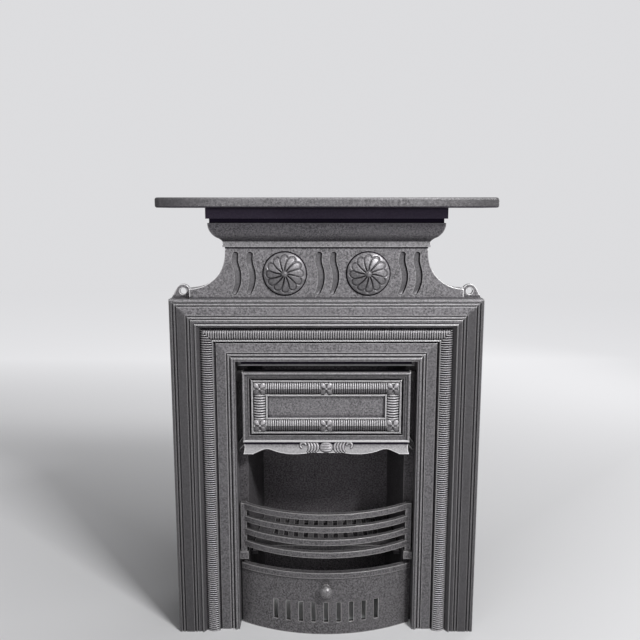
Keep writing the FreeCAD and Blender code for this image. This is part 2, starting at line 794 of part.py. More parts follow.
skirt_right = [(hood_half, size.iron), (hood_half, 0),
               Through(hood_half - size.skirt_arch * 0.3, drop * 0.35),
               (hood_half - size.skirt_arch * 0.1, drop), (hood_half * 0.88, drop),
               Through(hood_half * 0.83, drop * 0.85), (hood_half * 0.78, arch * 1.15),
               Through(hood_half * 0.72, arch), (hood_half * 0.66, arch * 1.1),
               Through(hood_half * 0.52, drop * 0.93), (hood_half * 0.36, drop),
               Through(hood_half * 0.27, drop * 0.97), (hood_half * 0.2, drop * 0.9)]
skirt_left = []
for point in reversed(skirt_right):
    if isinstance(point, Through):
        skirt_left.append(Through(-point.place[0], point.place[1]))
    else:
        skirt_left.append((-point[0], point[1]))
skirt = smoke_hood.newObject("PartDesign::Pad", "skirt")
skirt_outline = make_sketch(smoke_hood, "XZ_Plane", hood_y + step_depth + size.skirt_thickness,
                            [skirt_right + skirt_left], "skirt_outline")
skirt_outline.AttachmentOffset = FreeCAD.Placement(
    FreeCAD.Vector(0, 0, 0), FreeCAD.Rotation(FreeCAD.Vector(1, 0, 0), -size.skirt_flare.value))
skirt_outline.setExpression("AttachmentOffset.Base.y", hood_bottom.text)
skirt_outline.setExpression("AttachmentOffset.Base.z", (-(hood_y + step_depth + size.skirt_thickness)).text)
skirt.Profile = skirt_outline
skirt.setExpression("Length", size.skirt_thickness.text)
peg_y = hood_back - size.peg_setback
peg_z = hood_top - size.peg_drop
for word, side in SIDES:
    start, finish = sorted([(hood_half - size.peg_seat) * side, hood_half * side], key=lambda end: end.value)
    pocket(smoke_hood, "peg_hole_" + word, "YZ_Plane", start, finish,
           [Round(peg_y, peg_z, size.peg_radius + size.peg_fit)])

# Pegs in the hood's upper corners, each with a collar. They turn in the hooks.
pegs = []
peg_end = opening_half - size.peg_end_gap
for word, side in SIDES:
    turn = ALONG_X if side > 0 else ALONG_MINUS_X
    seat = ((hood_half - size.peg_seat) * side, peg_y, peg_z)
    shank = rod("peg_shank_" + word, size.peg_radius, peg_end - hood_half + size.peg_seat, seat, turn)
    collar = rod("peg_collar_" + word, size.peg_collar_radius, size.peg_collar_width,
                 (hood_half * side, peg_y, peg_z), turn)
    pegs.append(fuse("peg_" + word, [shank, collar]))
hood_pegs = group("hood_pegs", pegs)

# Hooks on the opening's sides carry the pegs, and rests stop the hood from swinging in.
slot = size.peg_radius + size.peg_fit
hook_screw_z = peg_z - size.peg_radius - (size.hook_below - size.peg_radius) / 2
rest_high = hood_bottom + size.iron
rest_low = rest_high - size.rest_rise
rest_screw_y = hood_back + size.rest_thickness / 2
rest_screw_z = rest_low + size.rest_foot / 2
screw_spots = []
screw_turns = []
hooks = {}
rests = {}
for word, side in SIDES:
    hook = make_body("hood_hook_" + word)
    start, finish = sorted([(opening_half - size.hook_width) * side, opening_half * side],
                           key=lambda end: end.value)
    pad(hook, "cradle", "YZ_Plane", start, finish,
        [[(peg_y - size.hook_half_depth, peg_z - size.hook_below),
          (peg_y + size.hook_half_depth, peg_z - size.hook_below),
          (peg_y + size.hook_half_depth, peg_z + size.hook_above), (peg_y + slot, peg_z + size.hook_above),
          (peg_y + slot, peg_z), Through(peg_y, peg_z - slot), (peg_y - slot, peg_z),
          (peg_y - slot, peg_z + size.hook_above), (peg_y - size.hook_half_depth, peg_z + size.hook_above)]])
    pocket(hook, "screw_hole", "YZ_Plane", start, finish, [Round(peg_y, hook_screw_z, screw_hole)])
    hooks[word] = hook
    rest = make_body("hood_rest_" + word)
    lap = hood_half - size.rest_lap
    pad(rest, "strut", "XZ_Plane", hood_back, hood_back + size.rest_thickness,
        [[(opening_half * side, rest_low), (opening_half * side, rest_low + size.rest_foot),
          (hood_half * side, rest_high), (lap * side, rest_high), (lap * side, rest_high - size.rest_lap)]])
    start, finish = sorted([lap * side, opening_half * side], key=lambda end: end.value)
    pocket(rest, "screw_hole", "YZ_Plane", start, finish, [Round(rest_screw_y, rest_screw_z, screw_hole)])
    rests[word] = rest
    wall_start, wall_finish = sorted([opening_half * side, (opening_half + size.iron) * side],
                                     key=lambda end: end.value)
    pocket(front_frame, "hook_screw_holes_" + word, "YZ_Plane", wall_start, wall_finish,
           [Round(peg_y, hook_screw_z, screw_hole), Round(rest_screw_y, rest_screw_z, screw_hole)])
    turn = ALONG_MINUS_X if side > 0 else ALONG_X
    screw_spots += [((opening_half + size.iron) * side, peg_y, hook_screw_z),
                    ((opening_half + size.iron) * side, rest_screw_y, rest_screw_z)]
    screw_turns += [turn, turn]
hook_screws = screws("hook_screws", screw_spots, screw_turns, size.iron * 2)

# Cheeks: splayed side walls of the fire, flanged in front and behind, with ledges for the grate.
firebox_y = wall_y + size.firebox_depth
front_half = opening_half - size.cheek_reveal
back_half = front_half - size.cheek_splay
flange_edge = half_width - size.flange_inset
rear_bolt_x = back_half + size.rear_flange / 2 + size.iron / 2
rear_bolt_levels = [opening_top * share for share in (0.12, 0.5, 0.88)]
rear_bolt_spots = [(rear_bolt_x * side, level) for _, side in SIDES for level in rear_bolt_levels]
socket_x = (opening_half + front_half) / 2
socket_top = size.grate_height + size.socket_height
socket_screw_z = size.grate_height + size.socket_height / 2
socket_screw_x = socket_x + size.socket_screw_shift
cheeks = {}
for word, side in SIDES:
    cheek = make_body("cheek_" + word)
    rear_edge = back_half + size.rear_flange
    pad(cheek, "wall", "XY_Plane", 0, opening_top,
        [[(front_half * side, wall_y), (back_half * side, firebox_y), (rear_edge * side, firebox_y),
          (rear_edge * side, firebox_y - size.iron), ((back_half + size.iron) * side, firebox_y - size.iron),
          ((front_half + size.iron) * side, wall_y + size.iron),
          (flange_edge * side, wall_y + size.iron),
          (flange_edge * side, wall_y)]])
    ledge_end = firebox_y - size.ledge_front
    ledge_start = wall_y + size.ledge_front
    near = front_half - size.cheek_splay * size.ledge_front / size.firebox_depth
    far = back_half + size.cheek_splay * size.ledge_front / size.firebox_depth
    pad(cheek, "ledge", "XY_Plane", size.grate_height - size.iron, size.grate_height,
        [[((near + size.iron / 2) * side, ledge_start), ((near - size.ledge_width) * side, ledge_start),
          ((far - size.ledge_width) * side, ledge_end), ((far + size.iron / 2) * side, ledge_end)]])
    pocket(cheek, "front_bolt_holes", "XZ_Plane", wall_y, wall_y + size.iron,
           [Round(across, up, bolt_hole) for across, up in cheek_bolt_spots if across.value * side > 0])
    pocket(cheek, "rear_bolt_holes", "XZ_Plane", firebox_y - size.iron, firebox_y,
           [Round(across, up, bolt_hole) for across, up in rear_bolt_spots if across.value * side > 0])
    pocket(cheek, "socket_hole", "XZ_Plane", wall_y, wall_y + size.iron,
           [Round(socket_screw_x * side, socket_screw_z, screw_hole)])
    cheeks[word] = cheek

# Fire back: a thick plate against the cheeks' rear flanges.
fire_back = make_body("fire_back")
back_edge = back_half + size.rear_flange
pad(fire_back, "plate", "XZ_Plane", firebox_y, firebox_y + size.back_thickness,
    [rectangle(-back_edge, back_edge, 0, opening_top)])
pocket(fire_back, "bolt_holes", "XZ_Plane", firebox_y, firebox_y + size.back_thickness,
       [Round(across, up, bolt_hole) for across, up in rear_bolt_spots])
cheek_bolts = bolts("cheek_bolts", [(across, wall_y + size.iron, up) for across, up in cheek_bolt_spots],
                    ALONG_MINUS_Y, size.iron + boss_bolt_depth - size.bolt_tail)
back_bolts = bolts("back_bolts", [(across, firebox_y + size.back_thickness, up) for across,
                                  up in rear_bolt_spots],
                   ALONG_MINUS_Y, size.back_thickness + size.iron + size.bolt_head_height + size.bolt_tail)
back_nuts = nuts("back_nuts", [(across, firebox_y - size.iron, up) for across, up in rear_bolt_spots],
                 ALONG_MINUS_Y)

# Throat plate: closes the top of the fire, with the way to the flue and lugs for the damper's rod.
throat_plate = make_body("throat_plate")
throat_top = opening_top + size.iron
back_y = firebox_y + size.back_thickness
pad(throat_plate, "front_flange", "XZ_Plane", wall_y, wall_y + size.iron,
    [rectangle(-flange_edge, flange_edge, opening_top, opening_top + size.throat_flange)])
pad(throat_plate, "plate", "XY_Plane", opening_top, throat_top,
    [rectangle(-back_edge, back_edge, wall_y, back_y)])
flue_y = wall_y + size.flue_front
flue_end = flue_y + size.flue_depth
pocket(throat_plate, "flue_way", "XY_Plane", opening_top, throat_top,
       [rectangle(-size.flue_width / 2, size.flue_width / 2, flue_y, flue_end)])
rod_y = flue_end + size.flap_lap + size.rod_setback
rod_z = throat_top + size.rod_height
lug_inner = size.knuckle_outer + size.hinge_lug_gap
lug_outer = lug_inner + size.hinge_lug_width
for word, side in SIDES:
    start, finish = sorted([lug_inner * side, lug_outer * side], key=lambda end: end.value)
    knuckle = size.knuckle_radius
    pad(throat_plate, "hinge_lug_" + word, "YZ_Plane", start, finish,
        [[(rod_y - knuckle, throat_top - size.iron / 2), (rod_y + knuckle, throat_top - size.iron / 2),
          (rod_y + knuckle, rod_z), Through(rod_y, rod_z + knuckle), (rod_y - knuckle, rod_z)]])
    pocket(throat_plate, "hinge_hole_" + word, "YZ_Plane", start, finish,
           [Round(rod_y, rod_z, size.rod_radius + size.rod_fit)])
pocket(throat_plate, "bolt_holes", "XZ_Plane", wall_y, wall_y + size.iron,
       [Round(across, up, bolt_hole) for across, up in throat_bolt_spots])
throat_bolts = bolts("throat_bolts", [(across, wall_y + size.iron, up) for across, up in throat_bolt_spots],
                     ALONG_MINUS_Y, size.iron + boss_bolt_depth - size.bolt_tail)

# Damper flap: lies over the way to the flue and swings up on its rod.
damper_flap = make_body("damper_flap")
flap_half = size.flue_width / 2 + size.flap_lap
flap_top = throat_top + size.flap_thickness
pad(damper_flap, "plate", "XY_Plane", throat_top, flap_top,
    [rectangle(-flap_half, flap_half, flue_y - size.flap_lap, flue_end + size.flap_lap)])
for word, side in SIDES:
    start, finish = sorted([size.knuckle_inner * side, size.knuckle_outer * side], key=lambda end: end.value)
    knuckle = size.knuckle_radius
    web_y = flue_end
    pad(damper_flap, "knuckle_" + word, "YZ_Plane", start, finish,
        [[(web_y, flap_top - size.flap_thickness / 2), (rod_y, rod_z - knuckle),
          Through(rod_y + knuckle, rod_z),
          (rod_y, rod_z + knuckle), (web_y, flap_top)]])
    pocket(damper_flap, "rod_hole_" + word, "YZ_Plane", start, finish,
           [Round(rod_y, rod_z, size.rod_radius + size.rod_fit)])

# Damper rod: headed over at both ends, outside the lugs.
rod_shank = rod("rod_shank", size.rod_radius, lug_outer * 2, (-lug_outer, rod_y, rod_z), ALONG_X)
rod_heads = [rod("rod_head_left", size.rod_head_radius, size.rod_head_height,
                 (-lug_outer - size.rod_head_height, rod_y, rod_z), ALONG_X),
             rod("rod_head_right", size.rod_head_radius, size.rod_head_height, (lug_outer, rod_y, rod_z),
                 ALONG_X)]
damper_rod = fuse("damper_rod", [rod_shank] + rod_heads)

# Sockets on the cheeks' front flanges, which the fire front drops into.
socket_y = wall_y - size.socket_depth / 2
sockets = {}
for word, side in SIDES:
    socket = make_body("bar_socket_" + word)
    middle = socket_x * side
    pad(socket, "block", "XY_Plane", size.grate_height, socket_top,
        [rectangle(middle - size.socket_width / 2, middle + size.socket_width / 2,
                   wall_y - size.socket_depth, wall_y)])
    pocket(socket, "peg_hole", "XY_Plane", size.grate_height, socket_top,
           [Round(middle, socket_y, size.bar_peg_radius + size.bolt_clearance)])
    sockets[word] = socket
    pocket(socket, "screw_hole", "XZ_Plane", wall_y - size.socket_depth / 4, wall_y,
           [Round(socket_screw_x * side, socket_screw_z, screw_hole)])
socket_screws = screws("socket_screws",
                       [(socket_screw_x * side, wall_y + size.iron, socket_screw_z) for _, side in SIDES],
                       [ALONG_MINUS_Y, ALONG_MINUS_Y],
                       size.iron + size.socket_depth / 4 - size.bolt_clearance)

# Fire front: bowed bars between two posts, whose pegs drop into the sockets.
fire_front = make_body("fire_front")
post_half = size.bar_post / 2
bars_top = socket_top + size.bar_foot + size.bar_pitch * 3 + size.bar_height
posts = [rectangle(socket_x * side - post_half, socket_x * side + post_half, socket_y - post_half,
                   socket_y + post_half)
         for _, side in SIDES]
pad(fire_front, "posts", "XY_Plane", socket_top, bars_top, posts)
pad(fire_front, "pegs", "XY_Plane", size.grate_height, socket_top,
    [Round(socket_x * side, socket_y, size.bar_peg_radius) for _, side in SIDES])
bar_half = size.bar_thickness / 2
for number in range(4):
    low = socket_top + size.bar_foot + size.bar_pitch * number
    pad(fire_front, "bar_%d" % (number + 1), "XY_Plane", low, low + size.bar_height,
        [[(-socket_x, socket_y - bar_half), Through(0, socket_y - bar_half - size.bar_bow),
          (socket_x, socket_y - bar_half), (socket_x, socket_y + bar_half),
          Through(0, socket_y + bar_half - size.bar_bow), (-socket_x, socket_y + bar_half)]])

# Bottom grate: a slotted casting that lies on the cheeks' ledges.
bottom_grate = make_body("bottom_grate")
grate_front_y = wall_y + size.ledge_front
grate_back_y = firebox_y - size.ledge_front
grate_near = front_half - size.cheek_splay * size.ledge_front / size.firebox_depth - size.grate_gap
grate_far = back_half + size.cheek_splay * size.ledge_front / size.firebox_depth - size.grate_gap
grate_top = size.grate_height + size.grate_thickness
pad(bottom_grate, "plate", "XY_Plane", size.grate_height, grate_top,
    [[(-grate_near, grate_front_y), (grate_near, grate_front_y), (grate_far, grate_back_y),
      (-grate_far, grate_back_y)]])
slot_pitch = size.grate_slot + size.grate_bar
slot_count = int((grate_far - size.grate_border).value / slot_pitch.value)
slots = [rectangle(slot_pitch * number - size.grate_slot / 2, slot_pitch * number + size.grate_slot / 2,
                   grate_front_y + size.grate_border, grate_back_y - size.grate_border)
                   for number in range(-slot_count, slot_count + 1)]
pocket(bottom_grate, "slots", "XY_Plane", size.grate_height, grate_top, slots)

# Ash pit cover: a bowed plate with a roll along its top and air slots. It stands on the hearth,
# its ends against the cheeks' front flanges.
ash_cover = make_body("ash_cover")
cover_half = opening_half - size.ash_cover_gap
cover_y = wall_y - size.ash_cover_seat - size.ash_cover_thickness


def bowed_strip(front_reach, thickness):
    """Plan of the bowed cover, its front face moved out by a reach."""
    front = cover_y - front_reach
    back = cover_y + thickness
    return [(-cover_half, front), Through(0, front - size.ash_cover_bow), (cover_half, front),
            (cover_half, back), Through(0, back - size.ash_cover_bow), (-cover_half, back)]


ash_cover_top = size.grate_height - size.ash_cover_drop
pad(ash_cover, "plate", "XY_Plane", 0, ash_cover_top,
    [bowed_strip(as_size(0), size.ash_cover_thickness)])
pad(ash_cover, "roll", "XY_Plane", ash_cover_top - size.ash_cover_roll, ash_cover_top,
    [bowed_strip(size.ash_cover_roll_reach, size.ash_cover_thickness)])
slot_low = (ash_cover_top - size.ash_cover_roll - size.ash_slot_height) / 3
cover_slots = [rectangle(size.ash_slot_pitch * number - size.ash_slot_width / 2,
                         size.ash_slot_pitch * number + size.ash_slot_width / 2, slot_low,
                         slot_low + size.ash_slot_height)
               for number in range(-4, 5)]
pocket(ash_cover, "air_slots", "XZ_Plane", cover_y - size.ash_cover_bow * 2,
       cover_y + size.ash_cover_thickness * 2, cover_slots)
knob_seat = cover_y - size.ash_cover_bow
pocket(ash_cover, "knob_hole", "XZ_Plane", knob_seat - size.iron, knob_seat + size.ash_cover_thickness * 2,
       [Round(0, size.knob_height, size.knob_stem_radius + size.rod_fit)])

# Knob of the ash pit cover, turned with a waisted neck and a stem through the plate.
ash_cover_knob = make_body("ash_cover_knob")
knob_tip = knob_seat - size.knob_length
knob_face = cap_radius(size.knob_radius, size.knob_length * 0.3)
knob_middle = size.knob_radius * 0.6
knob_rim = knob_tip + size.knob_length * 0.3
knob = [(0, knob_tip), Through(knob_middle, knob_tip + cap_depth(knob_face, knob_middle)),
        (size.knob_radius, knob_rim), (size.knob_radius, knob_rim + size.arris),
        (size.knob_neck_radius, knob_rim + size.knob_length * 0.3),
        (size.knob_neck_radius, knob_seat - size.iron / 2),
        (size.knob_foot_radius, knob_seat - size.rod_fit), (size.knob_stem_radius, knob_seat - size.rod_fit),
        (size.knob_stem_radius, knob_seat + size.ash_cover_thickness + size.bolt_tail),
        (0, knob_seat + size.ash_cover_thickness + size.bolt_tail)]
turned_knob = ash_cover_knob.newObject("PartDesign::Revolution", "turned_knob")
turned_knob.Profile = make_sketch(ash_cover_knob, "XY_Plane", size.knob_height, [knob], "knob_profile")
turned_knob.ReferenceAxis = (turned_knob.Profile[0], ["V_Axis"])
turned_knob.Angle = 360

NODES = [front_frame, frieze_panel, mantel_shelf, shelf_bolts, frieze_bolts, frieze_nuts, smoke_hood,
         hood_pegs,
         hooks["left"], hooks["right"], rests["left"], rests["right"], hook_screws, cheeks["left"],
         cheeks["right"],
         fire_back, cheek_bolts, back_bolts, back_nuts, throat_plate, throat_bolts, damper_flap, damper_rod,
         sockets["left"], sockets["right"], socket_screws, fire_front, bottom_grate, ash_cover,
         ash_cover_knob]

document.recompute()
faults = []
for thing in document.Objects:
    if "Invalid" in thing.State or "Error" in thing.State:
        faults.append("%s is %s" % (thing.Name, thing.State))
for node in NODES:
    if node.Shape.isNull() or not node.Shape.isValid() or not node.Shape.Solids:
        faults.append("%s has no valid solid" % node.Label)
if faults:
    raise SystemExit("\n".join(faults))
os.makedirs("parts", exist_ok=True)
for node in NODES:
    node.Shape.exportStep("parts/%s.step" % node.Label)
    box = node.Shape.BoundBox
    print("%-18s solids %2d volume %11.1f  x %8.2f %8.2f  y %8.2f %8.2f  z %8.2f %8.2f" % (
        node.Label, len(node.Shape.Solids), node.Shape.Volume, box.XMin, box.XMax, box.YMin, box.YMax,
        box.ZMin, box.ZMax))
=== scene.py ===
import math

import bmesh
import bpy
from mathutils import Matrix, Vector


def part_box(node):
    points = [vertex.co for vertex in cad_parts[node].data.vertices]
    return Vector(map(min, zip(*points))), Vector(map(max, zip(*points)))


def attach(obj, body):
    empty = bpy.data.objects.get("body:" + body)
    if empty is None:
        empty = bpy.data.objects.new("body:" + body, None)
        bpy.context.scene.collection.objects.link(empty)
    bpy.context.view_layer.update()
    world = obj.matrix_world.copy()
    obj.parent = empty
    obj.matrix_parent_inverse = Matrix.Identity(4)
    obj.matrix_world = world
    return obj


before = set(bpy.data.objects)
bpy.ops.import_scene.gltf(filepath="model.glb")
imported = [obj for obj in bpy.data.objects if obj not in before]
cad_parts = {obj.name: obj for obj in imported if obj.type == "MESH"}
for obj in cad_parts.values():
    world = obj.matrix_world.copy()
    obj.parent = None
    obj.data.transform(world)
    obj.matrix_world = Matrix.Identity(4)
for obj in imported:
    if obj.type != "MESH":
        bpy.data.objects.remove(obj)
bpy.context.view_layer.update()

# Front frame, frieze panel and mantel shelf. They are iron castings, hollow behind and bolted together
# out of sight. Black lead is polished onto them, and their colour carries painted light: ridges are bright
# with polish and painted highlight, grooves are darkened with painted shade, and painted shade by place
# makes jambs and shelf ends dimmer and the creases under cornice and head black.
number_kind = "NodeSocketFloat"


def value_group(name, inputs, outputs):
    """An empty shader group with numbers going in and the named kinds of socket coming out."""
    group = bpy.data.node_groups.new(name, "ShaderNodeTree")
    for label, start in inputs.items():
        socket = group.interface.new_socket(label, in_out="INPUT", socket_type=number_kind)
        socket.default_value = start
    for label, kind in outputs.items():
        group.interface.new_socket(label, in_out="OUTPUT", socket_type=kind)
    return group, group.nodes.new("NodeGroupInput"), group.nodes.new("NodeGroupOutput")


def between(tree, number, low, high, start=0.0, finish=1.0):
    """Stretch a number from one range to another, clamped."""
    node = tree.nodes.new("ShaderNodeMapRange")
    node.inputs["From Min"].default_value = low
    node.inputs["From Max"].default_value = high
    node.inputs["To Min"].default_value = start
    node.inputs["To Max"].default_value = finish
    tree.links.new(number, node.inputs["Value"])
    return node.outputs["Result"]


def sum_of(tree, operation, first, second):
    """One arithmetic step on two numbers, either of which may be a socket."""
    node = tree.nodes.new("ShaderNodeMath")
    node.operation = operation
    for socket, number in zip(node.inputs, (first, second)):
        if isinstance(number, (int, float)):
            socket.default_value = number
        else:
            tree.links.new(number, socket)
    return node.outputs[0]


# Painted light from the shape. Ridge marks thin convex edges, found by ambient occlusion inside the solid,
# for a painted highlight; Recess marks hollows, found by ambient occlusion outside, for painted shade.
edge_samples = 6
shelter_samples = 8
shelter_limits = {"Ridge": (0.92, 0.52), "Recess": (0.88, 0.42)}
relief, relief_in, relief_out = value_group(
    "casting_relief", {"Edge Radius": 0.001, "Ridge Reach": 0.002, "Recess Reach": 0.008},
    {"Ridge": number_kind, "Recess": number_kind, "Normal": "NodeSocketVector"})
rounded = relief.nodes.new("ShaderNodeBevel")
rounded.samples = edge_samples
relief.links.new(relief_in.outputs["Edge Radius"], rounded.inputs["Radius"])
relief.links.new(rounded.outputs["Normal"], relief_out.inputs["Normal"])
for label, limits in shelter_limits.items():
    shelter = relief.nodes.new("ShaderNodeAmbientOcclusion")
    shelter.samples = shelter_samples
    shelter.only_local = True
    shelter.inside = label == "Ridge"
    relief.links.new(relief_in.outputs[label + " Reach"], shelter.inputs["Distance"])
    relief.links.new(between(relief, shelter.outputs["AO"], *limits), relief_out.inputs[label])

noise_details = {"Grain": 4.0, "Swell": 3.0, "Patch": 4.0, "Speck": 2.0}
grain_share = 0.6
swell_share = 0.4
grain, grain_in, grain_out = value_group(
    "cast_grain", {"Grain Scale": 300.0, "Swell Scale": 110.0, "Patch Scale": 14.0, "Speck Scale": 900.0},
    {label: number_kind for label in ("Height", "Tone", "Patch", "Speck")})
grain_places = grain.nodes.new("ShaderNodeTexCoord")
noises = {}
for label, detail in noise_details.items():
    noise = grain.nodes.new("ShaderNodeTexNoise")
    noise.inputs["Detail"].default_value = detail
    grain.links.new(grain_places.outputs["Object"], noise.inputs["Vector"])
    grain.links.new(grain_in.outputs[label + " Scale"], noise.inputs["Scale"])
    noises[label] = noise.outputs["Fac"]
grains = sum_of(grain, "MULTIPLY", noises["Grain"], grain_share)
swells = sum_of(grain, "MULTIPLY", noises["Swell"], swell_share)
tones = between(grain, noises["Grain"], low=0.34, high=0.66)
patches = between(grain, noises["Patch"], low=0.36, high=0.66)
specks = between(grain, noises["Speck"], low=0.56, high=0.72)
grain.links.new(sum_of(grain, "ADD", grains, swells), grain_out.inputs["Height"])
grain.links.new(tones, grain_out.inputs["Tone"])
grain.links.new(patches, grain_out.inputs["Patch"])
grain.links.new(specks, grain_out.inputs["Speck"])

frieze_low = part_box("frieze_panel")[0][2]
rosette_z = frieze_low + 0.049
fillet_z = frieze_low + 0.1
# Painted light by place: masks in the part's own coordinates that put painted shade, painted shadow and
# painted highlights where light and shade fall on the surround and the hood.
placed_light, placed_light_in, placed_light_out = value_group(
    "painted_light_by_place",
    {"Shelf Reach": 0.235, "Shelf Level": 0.876, "Fascia Level": 0.854, "Neck Level": 0.846,
     "Fillet Level": fillet_z, "Rosette Level": rosette_z, "Frieze Level": frieze_low,
     "Opening Reach": 0.1805, "Opening Level": 0.5755, "Reeding Reach": 0.2185,
     "Hood Reach": 0.167, "Hood Level": 0.5535, "Skirt Level": 0.4095},
    {label: number_kind for label in ("Painted Dimming", "Shade", "Line", "Bright", "Plain")})
placed_light_places = placed_light.nodes.new("ShaderNodeTexCoord")
axes = placed_light.nodes.new("ShaderNodeSeparateXYZ")
placed_light.links.new(placed_light_places.outputs["Object"], axes.inputs["Vector"])
upright = axes.outputs["Z"]
inward = axes.outputs["Y"]
sideways = sum_of(placed_light, "ABSOLUTE", axes.outputs["X"], 0.0)


def past(number, label):
    """How many metres a place lies past a level of the pattern."""
    return sum_of(placed_light, "SUBTRACT", number, placed_light_in.outputs[label])


def over(number, level, blur):
    """A mask that is full over a number and fades across a blur."""
    return between(placed_light, number, level - blur, level + blur)


def under(number, level, blur):
    """A mask that is full under a number and fades across a blur."""
    return between(placed_light, number, level - blur, level + blur, 1.0, 0.0)


def band(number, low, high, blur):
    """A mask that is full between two numbers and fades across a blur at both."""
    return sum_of(placed_light, "MULTIPLY", over(number, low, blur), under(number, high, blur))


def all_of(first, *others):
    """The part that several masks share. A plain number among them weakens it to that share."""
    for other in others:
        first = sum_of(placed_light, "MULTIPLY", first, other)
    return first


def any_of(output, first, *others):
    """The strongest of several masks, put out under a name."""
    for other in others:
        first = sum_of(placed_light, "MAXIMUM", first, other)
    placed_light.links.new(first, placed_light_out.inputs[output])


above_neck = past(upright, "Neck Level")
above_fillet = past(upright, "Fillet Level")
above_rosette = past(upright, "Rosette Level")
above_frame = past(upright, "Frieze Level")
above_opening = past(upright, "Opening Level")
above_hood = past(upright, "Hood Level")
above_skirt = past(upright, "Skirt Level")
beside_opening = past(sideways, "Opening Reach")
beside_hood = past(sideways, "Hood Reach")
on_shelf = over(past(upright, "Shelf Level"), level=0.0, blur=0.001)
off_shelf = sum_of(placed_light, "SUBTRACT", 1.0, on_shelf)
from_neck = over(above_neck, level=0.0, blur=0.002)
behind_head = over(inward, level=-0.047, blur=0.001)
within_opening = under(beside_opening, level=-0.008, blur=0.001)
within_hood = under(beside_hood, level=0.0, blur=0.001)
hood_edge = sum_of(placed_light, "MULTIPLY", sum_of(placed_light, "MAXIMUM", beside_hood, above_hood), -1.0)
hood_edge = sum_of(placed_light, "MINIMUM", hood_edge, above_skirt)
hood_slope = band(hood_edge, low=0.0052, high=0.0139, blur=0.0005)

# Painted shade: the jambs, the shelf's ends and the hood's sloping border are dimmed.
slope_dimming = 0.5
mitre_side = sum_of(placed_light, "SUBTRACT", beside_opening, above_opening)
jambs = all_of(over(mitre_side, level=0.0, blur=0.003), over(beside_opening, level=-0.003, blur=0.001))
outer_jambs = between(placed_light, past(sideways, "Reeding Reach"), low=-0.001, high=0.001, start=0.5)
shelf_ends = between(placed_light, past(sideways, "Shelf Reach"), low=-0.05, high=0.05, start=0.35)
any_of("Painted Dimming", all_of(jambs, outer_jambs), all_of(shelf_ends, on_shelf), all_of(hood_slope, slope_dimming))

# Painted shadow of the shelf: the fascia, and fading downwards the cornice under it, take a shade colour.
cornice_shade = between(placed_light, above_neck, low=-0.034, high=0.0, finish=0.45)
any_of("Shade", all_of(from_neck, off_shelf), all_of(cornice_shade, off_shelf))

# Dark lines: painted shade in the groove under the fascia, at the ogee's foot, on the shelf's left end, under
# the fillet, where the head's shadow falls on the lintel, on the hood's top face and along the skirt's top;
# and at half strength a dark line along the frieze panel's foot.
joint_share = 0.5
neck_line = all_of(from_neck, under(past(upright, "Fascia Level"), level=0.0, blur=0.0005))
ogee_fade = between(placed_light, above_fillet, low=0.0105, high=0.022, start=0.8, finish=0.0)
ogee_line = all_of(ogee_fade, over(above_fillet, level=0.0105, blur=0.0004))
shelf_left = between(placed_light, axes.outputs["X"], low=-0.29, high=-0.2, start=0.3, finish=0.0)
fillet_line = band(above_fillet, low=-0.003, high=-0.0002, blur=0.0003)
frame_joint = band(above_frame, low=-0.0006, high=0.003, blur=0.0003)
head_line = band(above_opening, low=-0.0117, high=0.002, blur=0.0008)
hood_line = band(above_hood, low=-0.0002, high=0.002, blur=0.0002)
hood_roof = over(inward, level=-0.065, blur=0.0015)
skirt_line = band(above_skirt, low=-0.0045, high=-0.0004, blur=0.0008)
any_of("Line", neck_line, ogee_line, all_of(on_shelf, shelf_left), fillet_line,
       all_of(frame_joint, joint_share), all_of(head_line, behind_head, within_opening),
       all_of(hood_line, hood_roof, within_hood), all_of(skirt_line, within_hood))

# Painted highlights: the fillet under the ogee, the hood's foot just above the skirt, the lintel's lower
# part, and a painted light on the skirt that grows towards its lower edge.
fillet_share = 0.08
foot_share = 0.5
lintel_share = 0.34
fillet = band(above_fillet, low=0.0, high=0.0108, blur=0.0003)
hood_foot = band(above_skirt, low=0.0008, high=0.0046, blur=0.0006)
lintel = band(above_opening, low=-0.017, high=-0.0117, blur=0.0008)
skirt = between(placed_light, above_skirt, low=-0.013, high=-0.003, start=0.24, finish=0.0)
any_of("Bright", all_of(fillet, fillet_share), all_of(hood_foot, within_hood, foot_share),
       all_of(lintel, behind_head, within_opening, lintel_share), all_of(skirt, within_hood))

# Plain places, where the painted highlights on edges are held back: the frieze panel's ends and field, the
# fillet's edges, the panel's foot, the opening's edge and the hood's sloping border.
from_rosette = sum_of(placed_light, "ABSOLUTE", above_rosette, 0.0)
opening_edge = sum_of(placed_light, "MAXIMUM", beside_opening, above_opening)
panel_end = all_of(band(above_rosette, low=-0.0484, high=-0.0375, blur=0.0005),
                   band(sideways, low=0.2275, high=0.2455, blur=0.0015))
frieze_field = all_of(between(placed_light, from_rosette, low=0.0435, high=0.0465, start=1.0, finish=0.0),
                      between(placed_light, sideways, low=0.195, high=0.205, start=1.0, finish=0.0))
any_of("Plain", panel_end, frieze_field, band(above_fillet, low=-0.002, high=0.0035, blur=0.0003),
       band(above_frame, low=0.0003, high=0.004, blur=0.0003),
       band(opening_edge, low=-0.004, high=0.0022, blur=0.0004), hood_slope)

iron_specular = 0.35
grain_darkening = 0.64
grain_lightening = 0.68
patch_share, patch_tone = 0.35, 1.2
speck_share = 0.3
dimming_share, dimming_tone = 0.86, 0.35
shade_share, shade_paint = 0.96, (0.033, 0.026, 0.042)
line_share, line_paint = 0.97, (0.006, 0.004, 0.01)
dimming_loss, shade_loss, plain_kept = 0.68, 1.73, 0.15
recess_loss = 0.45
shade_metallic = 0.95
patch_rougher, patch_smoother = 0.06, 0.04
ridge_polish = 0.1
recess_dulling = 0.2
dent_depth = 0.0008


